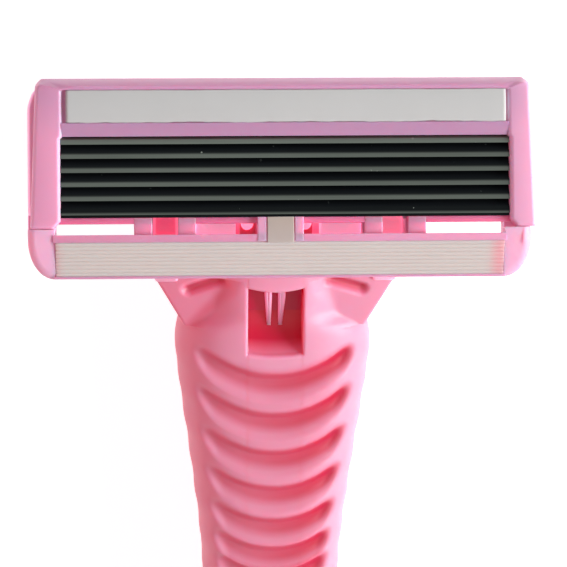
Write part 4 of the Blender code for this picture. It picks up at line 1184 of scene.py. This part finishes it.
# Share of the stretch, half width as a share of the shoulder's, front and back as shares of the rise.
NECK_ROWS = np.array(
    [
        (0.0000, 0.604, 0.915, 0.400),
        (0.3004, 0.625, 0.922, 0.260),
        (0.5003, 0.650, 0.926, 0.170),
        (0.5734, 0.730, 0.928, 0.125),
        (0.6453, 0.870, 0.930, 0.085),
        (0.7184, 0.940, 0.932, 0.050),
        (0.8334, 0.978, 0.935, 0.012),
    ]
)
GRIP_ROWS = np.array(
    [
        (0.0000, 1.000, 0.938, -0.022),
        (0.0242, 0.970, 0.950, -0.031),
        (0.0506, 0.930, 0.957, -0.023),
        (0.0854, 0.870, 0.969, 0.016),
        (0.1212, 0.812, 0.981, 0.070),
        (0.1561, 0.760, 0.992, 0.116),
        (0.1940, 0.725, 1.000, 0.155),
        (0.3178, 0.680, 0.984, 0.209),
        (0.5340, 0.655, 0.868, 0.178),
        (0.7501, 0.695, 0.729, 0.047),
        (0.8536, 0.723, 0.674, -0.031),
        (0.9396, 0.718, 0.643, -0.031),
        (0.9828, 0.569, 0.589, 0.047),
        (1.0000, 0.300, 0.465, 0.186),
    ]
)


@dataclass
class HandleForm:
    """Outline of the handle, which both of its shells follow."""

    neck_start: float = 3.6
    shoulder: float = 13.2
    tail: float = 129.0
    shoulder_half: float = 8.78
    rise: float = 12.9
    roundness: float = 0.8

    def section(self, back: Array) -> tuple:
        """Half width, front height and back height at distances behind the hinge.

        Each table column follows cubic pieces between its rows, with the slope at a row taken from its two
        neighbours.
        """
        stops = (self.neck_start, self.shoulder, self.tail)
        rows = []
        for start, end, table in zip(stops, stops[1:], (NECK_ROWS, GRIP_ROWS)):
            rows.append(np.column_stack([start + (end - start) * table[:, 0], table[:, 1:]]))
        rows = np.concatenate(rows)
        places, last = rows[:, 0], len(rows) - 1
        back = np.clip(back, places[0], places[-1])
        index = np.clip(np.searchsorted(places, back) - 1, 0, last - 1)
        start, end = rows[index], rows[index + 1]
        before, after = rows[np.maximum(index - 1, 0)], rows[np.minimum(index + 2, last)]
        width = (end[:, 0] - start[:, 0])[:, None]
        share = (back - start[:, 0])[:, None] / width
        slope_in = (end - before) / (end[:, :1] - before[:, :1])
        slope_out = (after - start) / (after[:, :1] - start[:, :1])
        value = (
            start * (2 * share**3 - 3 * share**2 + 1)
            + end * (3 * share**2 - 2 * share**3)
            + slope_in * width * (share**3 - 2 * share**2 + share)
            + slope_out * width * (share**3 - share**2)
        )
        return value[:, 1] * self.shoulder_half, value[:, 2] * self.rise, value[:, 3] * self.rise


@dataclass
class Grooves:
    """The smile-shaped thumb grooves."""

    count: int = 7
    first: float = 14.9
    pitch: float = 3.8
    pitch_loss: float = 0.055
    depth: float = 0.8
    smile: float = 2.85
    widest: float = 8.78
    end_share: float = 0.85
    middle: float = 0.1
    lip: float = 1.5
    ramp: float = 1.8
    flat: float = 0.1
    tip: float = 1.75
    shade_middle: float = -0.12
    shade_reach: float = 1.65
    tone_flat: float = 0.3

    def places(self) -> Array:
        """Distances of the grooves behind the hinge."""
        steps = self.pitch - self.pitch_loss * np.arange(self.count - 1) ** 2
        return self.first + np.concatenate([[0.0], np.cumsum(steps)])

    def cut(self, across: Array, back: Array, half: Array) -> tuple:
        """Depth and painted shade of the grooves at each point, in shares of the greatest.

        A groove curls towards the head with the square of the distance from the middle. Its depth falls off
        with q, where q * q = (s / a) ** 2 + (v / r) ** 2: s is the offset from its middle line, a the reach
        on that side (short at the lip, long at the ramp), v how far a point lies into the round end and r
        that end's length. The painted shade does the same about a line nearer to the lip, in a narrower band.
        """
        end = self.end_share * half
        reach = self.smile * (half / self.widest) ** 2
        curled = back + reach * np.minimum(np.abs(across) / (0.97 * end), 1.15) ** 2
        into = np.maximum(np.abs(across) - (end - self.tip), 0.0) / self.tip
        shares = []
        for middle, lip, ramp, flat in (
            (self.middle, self.lip, self.ramp, self.flat),
            (self.shade_middle, self.shade_reach, self.shade_reach, self.tone_flat),
        ):
            share = np.zeros(curled.shape)
            for place in self.places():
                offset = curled - place - middle
                gap = np.sqrt((offset / np.where(offset < 0, lip, ramp)) ** 2 + into**2)
                share = np.maximum(share, 1 - smoothstep((gap - flat) / (1 - flat)))
            shares.append(share)
        return tuple(shares)


@dataclass
class Handle:
    """Both shells of the handle: dome and wings at the neck, window, grooves and finger ridges."""

    window_start: float = 5.8
    window_end: float = 12.15
    window_half: float = 2.38
    window_round: float = 0.28
    pit_floor: float = 7.75
    scoop_start: float = 8.6
    scoop_floor: float = 9.12
    wing_front: float = 5.2
    wing_tip: float = 10.45
    wing_edge: float = 10.5
    wing_knee: float = 5.4
    wing_root: float = 7.9
    wing_top: float = 10.5
    wing_fall: float = 0.4
    wing_thick: float = 2.6
    wing_round: float = 0.35
    wing_blend: float = 1.1
    crown_back: tuple = (4.6, 6.4, 10.4)
    crown_half: tuple = (2.5, 3.1, 6.4)
    flank: float = 2.3
    top_share: float = 0.985
    brow_start: tuple = (4.7, 5.45)
    brow_end: tuple = (7.5, 6.5)
    brow_flat: float = 0.05
    brow_fade: float = 0.75
    brow_depth: float = 0.55
    brow_shade: float = 0.85
    sag: float = 0.36
    corner_bow: float = 0.5
    # Painted shade: deeper colour in the grooves, more to the right, on the sides, more on the left, and on
    # the dome's left flank.
    groove_shade: float = 0.74
    grip_tone: float = 0.14
    shade_lean: float = 0.6
    side_shade: float = 0.12
    left_shade: float = 0.288
    flank_shade: float = 0.3
    scallop: float = 0.05
    ridge_depth: float = 0.35
    ridge_count: int = 6
    seam: float = 0.08
    hair: float = 0.012
    arm_inner: float = 8.4
    arm_outer: float = 10.42
    arm_highlight: float = 0.72
    eye: float = 1.35
    pin: float = 0.7
    pin_end: float = 11.54
    form: HandleForm = field(default_factory=HandleForm)
    grooves: Grooves = field(default_factory=Grooves)

    def rows(self) -> Array:
        """Distances behind the hinge of the rings, close together at the neck and the grooves."""
        hair = self.hair
        ends = [self.window_start - hair, self.window_start + hair, self.wing_front, self.wing_front + hair]
        ends += [self.window_end - hair, self.window_end + hair]
        neck = np.arange(self.form.neck_start, 13.0, 0.12)
        grip = np.arange(13.0, 42.0, 0.085)
        tail = 42.0 + (self.form.tail - 42.0) * np.sin(np.linspace(0.0, QUARTER, 110))
        rows = np.unique(np.concatenate([neck, grip, tail]))
        rows = rows[np.min(np.abs(rows[:, None] - np.array(ends)[None, :]), axis=1) > 0.03]
        return np.sort(np.concatenate([rows, ends]))

    def wing_half(self, back: Array) -> Array:
        """Half width of the wings, which taper from a knee to the shoulders."""
        places = [self.wing_front, self.wing_knee, self.wing_tip - 0.2, self.wing_tip]
        widths = [self.wing_edge - 0.03, self.wing_edge, self.wing_root, self.wing_root - 0.5]
        there = (back > self.wing_front) & (back < self.wing_tip)
        return np.where(there, np.interp(back, places, widths), 0.0)

    def top_columns(self, reach: Array) -> Array:
        """Places across the top surface, the same near the window in every ring and stretched outside it."""
        near = [0.0, 0.5, 1.0, 1.5, 1.95, 2.15, 2.25, 2.33, 2.39, self.window_half - self.hair]
        near += [self.window_half + self.hair, 2.5, 2.58, 2.66, 2.75, 2.95, 3.2]
        inner = np.array(near)[None, :] * np.minimum(1.0, reach / 4.2)[:, None]
        share = 1 - (1 - np.linspace(0.0, 1.0, 31)[1:]) ** 1.5
        outer = inner[:, -1:] + (reach[:, None] - inner[:, -1:]) * share[None, :]
        return np.concatenate([inner, outer], axis=1)

    def neck_top(self, across: Array, back: Array, dome: Array) -> tuple:
        """The wings' plane joined to the dome, and how far out on the dome's flank each point lies.

        Up to back = 9 the dome is cut off at its flank, a smooth step of (across - crown) / flank; behind
        that the two meet with a fillet.
        """
        slope = np.interp(back, [self.wing_knee, self.wing_tip], [0.0, self.wing_fall])
        plate = self.wing_top - slope - 0.05 * np.maximum(across - 5.0, 0.0) ** 1.4
        flank = smoothstep((across - np.interp(back, self.crown_back, self.crown_half)) / self.flank)
        ridge = plate + smooth_max(dome - plate, np.zeros(dome.shape), self.wing_blend) * (1 - flank)
        necked = 1 - smoothstep((back - 9.0) / 1.45)
        return smooth_max(dome, plate, self.wing_blend) * (1 - necked) + ridge * necked, flank

    def tones(self, across: Array, inside: Array, tone: Array, extra: Array) -> tuple:
        """Depth marks of the top on the right and on the left: painted shade, and a deeper tone over the
        grip's middle.

        The grip's middle is a little deeper in tone and the grooves are deeper still, painted shade, which
        leans: stronger to the right and weaker to the left, in proportion to the distance across. The edges
        are painted deeper as shade too, the left more.

        Args:
            across: distances from the middle as shares of the half width.
            inside: how far each ring lies among the grooves.
            tone: the grooves' painted shade.
            extra: painted shade of the window and the slots.

        Returns:
            The marks on the right, then those on the left.
        """
        grip = self.grip_tone * inside * (1 - smoothstep((across - 0.5) / 0.35))
        even = np.maximum(tone * self.groove_shade, grip)
        lean = self.shade_lean * np.clip(across, 0.0, 1.0) * (even > 0)
        sides = []
        for sign, edge_shade, start in ((1, self.side_shade, 0.55), (-1, self.left_shade, 0.5)):
            mark = np.clip(even * (1 + sign * lean) + extra, 0.0, 1.0)
            sides.append(np.maximum(mark, edge_shade * smoothstep((across - start) / 0.4)))
        return tuple(sides)

    def front_skin(self) -> Surface:
        """The front shell.

        Half of each ring is a top stretch, whose height is a function of (across, back), and a side stretch
        that runs down to the seam, round the wing's edge where there is one. The top is the dome, a
        superellipse, joined to the wing's plane, less the grooves and the window.
        """
        back = self.rows()
        half, front, rear = self.form.section(back)
        places = self.grooves.places()
        inside = smoothstep((back - 13.5) / 2.0) * (1 - smoothstep((back - places[-1] - 2.0) / 3.0))
        phase = (back + 2.2 - places[0]) / self.grooves.pitch
        half = half + self.scallop * inside * np.cos(2 * math.pi * phase)
        seam = rear + 0.5 * (front - rear) + self.seam / 2
        wing = self.wing_half(back)
        winged = wing > half
        across = self.top_columns(np.where(winged, wing - self.wing_round, half * self.top_share))
        level = self.form.roundness
        b, w, p, there = back[:, None], half[:, None], seam[:, None], winged[:, None]
        share = np.clip(across / w, 0.0, 1.0)
        dome = p + (front[:, None] - p) * (1 - share ** (2 / level)) ** (level / 2)
        dome = np.where(across > w, p, dome)
        neck, flank = self.neck_top(across, b, dome)
        top = np.where(there, neck, dome)
        depth, tone = self.grooves.cut(across, b, w)
        brow, brow_painted_shade = self.brow(across, b)
        top, pit = self.window(across, b, top - self.grooves.depth * depth - brow * there)
        right, left = self.tones(across / w, inside[:, None], tone, pit + brow_painted_shade * there)
        side_x, side_z = self.side(half, front, seam, wing, winged, top[:, -1])
        x = np.concatenate([across, side_x], axis=1)
        z = np.concatenate([top, side_z], axis=1)
        # Painted shade: the side stretches are deeper, the left one more, and the dome's left flank deeper
        # still.
        right = np.concatenate([right, np.full(side_x.shape, self.side_shade)], axis=1)
        left = np.concatenate([left, np.full(side_x.shape, self.left_shade)], axis=1)
        bump = 4 * flank * (1 - flank) * there * smoothstep((b - 4.4) / 1.0)
        left = np.clip(left + np.pad(self.flank_shade * bump, ((0, 0), (0, side_x.shape[1]))), 0.0, 1.0)
        x = np.concatenate([x, -x[:, :0:-1]], axis=1)
        z = np.concatenate([z, z[:, :0:-1]], axis=1)
        mark = np.concatenate([right, left[:, :0:-1]], axis=1)
        y = np.repeat(b, x.shape[1], axis=1)
        points = np.stack([x, y + self.bow(x, y), np.maximum(z, 0.0)], axis=-1)
        return Surface.of(points, tube_faces(*x.shape), depth=mark).mapped(on_handle)

    def bow(self, across: Array, back: Array) -> Array:
        """How far the window's ends curve: its upper edge sags in the middle, its lower corners are round."""

        def hump(first: float, peak: float, fade: float) -> Array:
            """Rises from 0 at first to 1 at a peak and falls back to 0 over a fade."""
            return smoothstep((back - first) / (peak - first)) * (1 - smoothstep((back - peak) / fade))

        share = np.clip(np.abs(across) / (self.window_half + 0.9), 0.0, 1.0)
        near_start, near_end = hump(4.2, self.window_start, 2.0), hump(10.4, self.window_end, 1.4)
        upper = self.sag * (1 - share**2) ** 2 * near_start
        return upper - self.corner_bow * share**4 * (1 - share) * 4 * near_end

    def side(
        self, half: Array, front: Array, seam: Array, wing: Array, winged: Array, edge_top: Array
    ) -> tuple:
        """Side stretch of each ring: down the superellipse, or round the wing's edge and in under it."""
        level = self.form.roundness
        angle = np.linspace(math.acos(self.top_share ** (1 / level)), 0.0, 9)[1:]
        plain_x = half[:, None] * np.cos(angle)[None, :] ** level
        plain_z = seam[:, None] + (front - seam)[:, None] * np.sin(angle)[None, :] ** level
        turn = np.radians([20.0, 50.0, 80.0])
        round_edge = self.wing_round
        low = np.maximum(np.minimum(edge_top - self.wing_thick, edge_top - 0.8), seam + 0.3)
        wing_x = [wing - round_edge + round_edge * np.sin(a) for a in turn]
        wing_x += [wing, wing - 0.3, half, half, half]
        wing_z = [edge_top - round_edge * (1 - np.cos(a)) for a in turn]
        wing_z += [low + round_edge, low, low, (low + seam) / 2, seam]
        mask = winged[:, None]
        side_x = np.where(mask, np.stack(wing_x, axis=1), plain_x)
        return side_x, np.where(mask, np.stack(wing_z, axis=1), plain_z)

    def brow(self, across: Array, back: Array) -> tuple:
        """Depth and painted shade of the slanted slot in each wing: a round-ended trough along a short line.
        """
        start, end = np.array(self.brow_start), np.array(self.brow_end)
        line = end - start
        along = ((across - start[0]) * line[0] + (back - start[1]) * line[1]) / np.dot(line, line)
        along = np.clip(along, 0.0, 1.0)
        gap = np.hypot(across - start[0] - along * line[0], back - start[1] - along * line[1])
        share = 1 - smoothstep((gap - self.brow_flat) / self.brow_fade)
        return self.brow_depth * share, self.brow_shade * share

    def window(self, across: Array, back: Array, top: Array) -> tuple:
        """Cuts the window into the top: rounded upper edges, upright walls, and a scoop up to its end.

        Returns:
            The new heights and a painted shade mark that grows with the depth inside the window.
        """
        beyond = np.maximum(self.window_start - back, back - self.window_end)
        outside = np.maximum(np.maximum(across - self.window_half, 0.0), beyond)
        near = np.clip(outside / self.window_round, 0.0, 1.0)
        dip = self.window_round * (1 - np.sqrt(np.maximum(1 - (1 - near) ** 2, 0.0)))
        inside = (across < self.window_half) & (beyond < 0)
        share = np.clip((back - self.scoop_start) / (self.window_end - self.scoop_start), 0.0, 1.0)
        start = np.where(back < self.scoop_start, self.pit_floor, self.scoop_floor)
        floor = start + (top - start - 0.45) * share**2.0
        lowered = np.where(inside, floor, top - np.where(outside > 0, dip, 0.0))
        return lowered, np.where(inside, np.clip((top - floor) / 1.6, 0.2, 1.0), 0.0)

    def back_skin(self) -> Surface:
        """The back shell: half superellipses below the seam with shallow ridges and two flat rests."""
        tail = 45.0 + 84.0 * np.sin(np.linspace(0.0, QUARTER, 90))
        back = np.unique(np.concatenate([np.arange(3.6, 45.0, 0.25), tail]))
        half, front, rear = self.form.section(back)
        seam = rear + 0.5 * (front - rear) - self.seam / 2
        places = self.grooves.places()
        share = np.clip((back - places[0]) / (places[-1] - places[0]), 0.0, 1.0)
        ridge = self.ridge_depth * np.sin(math.pi * self.ridge_count * share) ** 2
        angle = np.linspace(0.0, math.pi, 61)
        level = self.form.roundness
        across = half[:, None] * np.sign(np.cos(angle)) * np.abs(np.cos(angle)) ** level
        sine = np.maximum(np.sin(angle), 0.0)[None, :]
        height = seam[:, None] - (seam - rear)[:, None] * sine**level + ridge[:, None] * sine
        y = np.repeat(back[:, None], len(angle), axis=1)
        points = np.stack([across, y, np.maximum(height, 0.0)], axis=-1)
        return Surface.of(points, tube_faces(*across.shape)).mapped(on_handle)

    def arms(self) -> list:
        """The two arms with their round eyes, and the pins that stand out from them."""
        axis = (0.0, HEAD.hinge_z)
        eye = arc(axis, (-self.eye, self.eye), -70, 80, 20)
        outline = softened(np.concatenate([eye, [(5.6, 10.5), (5.6, 7.95)]]), 0.1, 2)
        pin = arc(axis, (self.pin, self.pin), 0, 360, 24)[:-1]
        spans = both_sides(self.arm_inner, self.arm_outer)
        arms = [slab(outline, *span, 0.25).marked(rim=0.6) for span in spans]
        pins = [slab(pin, *span, 0.12) for span in both_sides(self.arm_outer - 0.7, self.pin_end)]
        # Painted shade: each arm deepens towards its eye; the right arm has a painted highlight and glow all
        # over.
        for arm in arms:
            arm.depth = 1 - smoothstep((arm.points[:, 0] - 1.2) / 1.2)
        arms[0].rim = np.full(len(arms[0].rim), self.arm_highlight)
        return [along_handle(part) for part in (arms[0], pins[0], arms[1], pins[1])]

    def lips(self) -> list:
        """Two small lips under the plunger, on each side of the spring's trough."""
        outline = [(4.2, 5.5), (2.4, 5.3), (2.0, 5.9), (2.4, 6.4), (4.2, 6.4)]
        lips = [along_handle(slab(outline, *span, 0.2, soft=0.2)) for span in both_sides(1.4, 4.5)]
        # Painted shade: the lips take the deep colour.
        return [lip.marked(rim=0.0, depth=1.0) for lip in lips]

    def build(self, maker: Maker) -> None:
        """Makes both shells and opens the plunger's channel and the spring's trough in them."""
        front = maker.piece("front_shell", self.front_skin(), HANDLE_PINK, Body.HANDLE, ("handle_front",))
        back = maker.piece("back_shell", self.back_skin(), HANDLE_PINK, Body.HANDLE, ("handle_back",))
        maker.piece("hinge_arms", joined(self.arms() + self.lips()), HINGE_PINK, Body.HANDLE)
        for item in (front, back):
            cut(item, box_outline(2.6, 7.0, self.pit_floor, 10.45), -3.25, 3.25)
            cut(item, box_outline(2.6, 10.5, 5.32, 9.0), -1.35, 1.35)
        cut(front, box_outline(6.8, 13.8, 8.2, 9.17), -2.39, 2.39)


@dataclass
class Plunger:
    """The plunger: a round nose, a deck with two fingers and a foot that the spring pushes."""

    height: float = 9.1
    nose_radius: float = 1.2
    nose_front: float = 0.15
    nose_half: float = 3.1
    lobe_start: float = 1.88
    lobe_round: float = 0.56
    core_inset: float = 0.35
    nose_length: float = 3.6
    deck_half: float = 2.36
    deck_low: float = 8.35
    deck_top: float = 9.15
    deck_end: float = 11.2
    finger_end: float = 10.7
    spring_height: float = 6.67

    def nose(self, drawn: float, steps: int) -> Array:
        """Side view of the nose with its straight back, drawn in by some amount."""
        radius = self.nose_radius - drawn
        front = arc((self.nose_front, self.height), (-radius, radius), 90, -90, steps)
        back = [(self.nose_length, self.height - radius), (self.nose_length, self.height + radius)]
        return np.concatenate([front, back])

    def skin(self) -> Surface:
        """The nose, the deck, two ribs that lean together and the foot, as rounded slabs."""
        back, low, high = self.nose_length, self.deck_low, self.height + self.nose_radius
        bar, half = self.lobe_start - 0.12, self.nose_half
        deck = box_outline(back - 1.0, self.deck_end, low, self.deck_top)
        foot = box_outline(back - 1.0, back, self.spring_height - 1.0, self.height)
        web = box_outline(back - 0.9, back - 0.1, low + 0.1, high - 0.2)
        # Painted shade on the nose, deck, core and web; a painted highlight and glow on the two lobes.
        parts = [
            slab(self.nose(0.0, 20), -bar, bar, 0.2).marked(rim=0.0, depth=0.8),
            slab(deck, -self.deck_half, self.deck_half, 0.04).marked(rim=0.0, depth=1.0),
            slab(foot, -1.03, 1.03, 0.1),
            slab(self.nose(self.core_inset, 16), -half, half, 0.02).marked(rim=0.0, depth=1.0),
        ]
        ball = arc((self.nose_front, self.height), (-self.nose_radius, self.nose_radius), 90, 450, 32)[:-1]
        for span in both_sides(self.lobe_start, half):
            lobe = slab(ball, *span, self.lobe_round, steps=8)
            parts.append(replace(lobe, rim=np.ones(len(lobe.rim))))
        parts.append(slab(web, -half, half, 0.1).marked(rim=0.0, depth=1.0))
        ribs = [self.rib(side, high).mapped(on_handle) for side in (1, -1)]
        return joined([along_handle(joined(parts)), *ribs])

    def rib(self, side: int, high: float) -> Surface:
        """A rib beside the middle, drawn in plan: it narrows and sinks towards its end."""
        start, end = self.nose_length - 1.0, self.finger_end
        outline = [(0.28, start), (0.94, start), (0.90, end - 3.4), (0.66, end - 0.4), (0.48, end)]
        outline = np.array(outline + [(0.32, end - 0.4), (0.28, end - 3.4)]) * (side, 1)
        skin = slab(outline, self.deck_low + 0.2, high, 0.2, soft=0.1, between=3)
        level = skin.points[:, 2]
        sink = smoothstep((skin.points[:, 1] - (end - 3.2)) / 3.2)
        # Painted highlight near the rib's top, and painted shade where it sinks.
        skin.rim = 0.5 * smoothstep((level - high + 1.0) / 0.9)
        skin.points[:, 2] = level - np.where(level > self.deck_low + 0.6, 0.7 * sink, 0.0)
        skin.depth = 0.15 + 0.5 * sink
        return skin

    def build(self, maker: Maker) -> None:
        """Makes the plunger."""
        maker.piece("plunger_moulding", self.skin(), PLUNGER_PINK, Body.PLUNGER, ("plunger",))


@dataclass
class Spring:
    """The coil that pushes the plunger out: one wire that shortens as the plunger goes back."""

    start: float = 3.75
    end: float = 10.35
    height: float = 6.67
    radius: float = 1.03
    wire: float = 0.15
    turns: int = 7
    rings_per_turn: int = 40
    keep: float = 0.631

    def skin(self) -> Surface:
        """A round wire round a helix whose first and last turns lie close together.

        A ring's points are its centre + wire * (cos a * outwards + sin a * along the spring).
        """
        turn = np.linspace(0.0, 2 * math.pi * self.turns, self.turns * self.rings_per_turn + 1)
        ends = np.array([self.start + self.wire, self.start + 3.2 * self.wire])
        stops = np.concatenate([ends, (self.start + self.end - ends)[::-1]])
        marks = [0.0, turn[self.rings_per_turn], turn[-self.rings_per_turn - 1], turn[-1]]
        back = np.interp(turn, marks, stops)
        angle = np.linspace(0.0, 2 * math.pi, 13)[None, :-1]
        reach = self.radius + self.wire * np.cos(angle)
        across = reach * np.cos(turn)[:, None]
        height = self.height + reach * np.sin(turn)[:, None]
        points = np.stack([across, back[:, None] + self.wire * np.sin(angle), height], axis=-1)
        return Surface.of(points, tube_faces(*across.shape)).mapped(on_handle)

    def build(self, maker: Maker) -> None:
        """Makes the spring."""
        skin, nodes = self.skin(), ("plunger_spring",)
        item = maker.piece("return_spring", skin, SPRING_STEEL, Body.HANDLE, nodes, sharp=60.0)
        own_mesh(item)


# Stage


@dataclass
class Studio:
    """Floor, world, lamps and the photograph's camera."""

    aim: tuple = (0.17, -8.79, 0.0)
    distance: float = 155.0
    place_yaw: float = math.radians(-3.0)
    look_yaw: float = math.radians(-1.7)
    roll: float = math.radians(0.43)
    lens: float = 121.2
    sensor: float = 36.0
    world_level: float = 0.2
    key_place: tuple = (0.57, 0.1, 0.38)
    key_size: float = 0.34
    key_power: float = 6.6
    fill_place: tuple = (-0.5, -0.06, 0.05)
    fill_size: float = 0.3
    fill_power: float = 1.35
    fill_tint: tuple = (1.0, 0.3, 0.36)
    lamp_target: tuple = (0.0, 0.03, 0.01)
    floor_reach: float = 1.5
    floor_colour: tuple = (0.93, 0.93, 0.93, 1.0)
    floor_glow: float = 0.8

    def camera(self) -> None:
        """Sets the camera square to the shaving face, a little to the left."""
        aim = Vector([float(part) for part in HEAD.place(*self.aim)]) * MM
        stand = HEAD.normal * math.cos(self.place_yaw) + Vector((1, 0, 0)) * math.sin(self.place_yaw)
        forward = -(HEAD.normal * math.cos(self.look_yaw) + Vector((1, 0, 0)) * math.sin(self.look_yaw))
        side = forward.cross(HEAD.upward).normalized()
        top = side.cross(forward).normalized()
        top = top * math.cos(self.roll) + side * math.sin(self.roll)
        side = forward.cross(top).normalized()
        camera = bpy.data.objects.new("photo_camera", bpy.data.cameras.new("photo_camera"))
        camera.location = aim + stand * self.distance * MM
        camera.rotation_euler = Matrix((side, top, -forward)).transposed().to_euler()
        camera.data.lens = self.lens
        camera.data.sensor_width = self.sensor
        camera.data.shift_x = math.tan(self.look_yaw - self.place_yaw) * self.lens / self.sensor
        camera.data.clip_start = 0.01
        bpy.context.scene.collection.objects.link(camera)
        bpy.context.scene.camera = camera

    def background_mask(self, tree: Tree) -> Socket:
        """A socket that is 1 for what the camera sees, directly, in a reflection or through glass."""
        path = tree.nodes.new("ShaderNodeLightPath")
        first = maths(tree, "MAXIMUM", path.outputs["Is Camera Ray"], path.outputs["Is Glossy Ray"])
        return maths(tree, "MAXIMUM", first, path.outputs["Is Transmission Ray"])

    def world(self) -> None:
        """A white world that lights the object softly and shows as plain white."""
        world = bpy.data.worlds.new("studio")
        world.use_nodes = True
        tree = world.node_tree
        soft, shown = tree.nodes["Background"], tree.nodes.new("ShaderNodeBackground")
        mix = tree.nodes.new("ShaderNodeMixShader")
        feed(tree, mix.inputs[0], self.background_mask(tree))
        for light, level, socket in ((soft, self.world_level, mix.inputs[1]), (shown, 1.0, mix.inputs[2])):
            light.inputs["Color"].default_value = WHITE
            light.inputs["Strength"].default_value = level
            tree.links.new(light.outputs[0], socket)
        tree.links.new(mix.outputs[0], tree.nodes["World Output"].inputs["Surface"])
        bpy.context.scene.world = world

    def floor(self) -> None:
        """A white table that keeps the razor's shadow."""
        mesh = bpy.data.meshes.new("table")
        corners = box_outline(-self.floor_reach, self.floor_reach, -self.floor_reach, self.floor_reach)
        mesh.from_pydata(np.pad(corners, ((0, 0), (0, 1))).tolist(), [], [(0, 1, 2, 3)])
        finish = bpy.data.materials.new("white table")
        finish.use_nodes = True
        tree = finish.node_tree
        tree.nodes.remove(tree.nodes["Principled BSDF"])
        matt, glow = tree.nodes.new("ShaderNodeBsdfDiffuse"), tree.nodes.new("ShaderNodeEmission")
        both = tree.nodes.new("ShaderNodeAddShader")
        matt.inputs["Color"].default_value = self.floor_colour
        strength = maths(tree, "MULTIPLY", self.background_mask(tree), self.floor_glow)
        feed(tree, glow.inputs["Strength"], strength)
        tree.links.new(matt.outputs[0], both.inputs[0])
        tree.links.new(glow.outputs[0], both.inputs[1])
        tree.links.new(both.outputs[0], tree.nodes["Material Output"].inputs["Surface"])
        item = bpy.data.objects.new("table", mesh)
        item.data.materials.append(finish)
        bpy.context.scene.collection.objects.link(item)

    def lamp(self, name: str, place: tuple, size: float, power: float, tint: tuple = (1.0, 1.0, 1.0)) -> None:
        """A square soft lamp that points at the head."""
        light = bpy.data.lights.new(name, "AREA")
        light.size = size
        light.energy = power
        light.color = tint
        item = bpy.data.objects.new(name, light)
        item.location = place
        item.rotation_euler = (Vector(self.lamp_target) - item.location).to_track_quat("-Z", "Y").to_euler()
        bpy.context.scene.collection.objects.link(item)

    def build(self) -> None:
        """Sets up the whole stage."""
        self.camera()
        self.world()
        self.floor()
        self.lamp("key", self.key_place, self.key_size, self.key_power)
        self.lamp("fill", self.fill_place, self.fill_size, self.fill_power, self.fill_tint)
        bpy.context.scene.view_settings.view_transform = "Standard"


def main() -> None:
    """Builds the razor's parts in order, then the stage."""
    logging.basicConfig(level=logging.INFO, format="%(name)s %(message)s")
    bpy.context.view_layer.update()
    maker = Maker()
    for part in (CoverFrame(), Strip(), Blades(), Guard(), Housing(), Handle(), Plunger(), Spring()):
        part.build(maker)
    Studio().build()


if __name__ == "__main__":
    main()
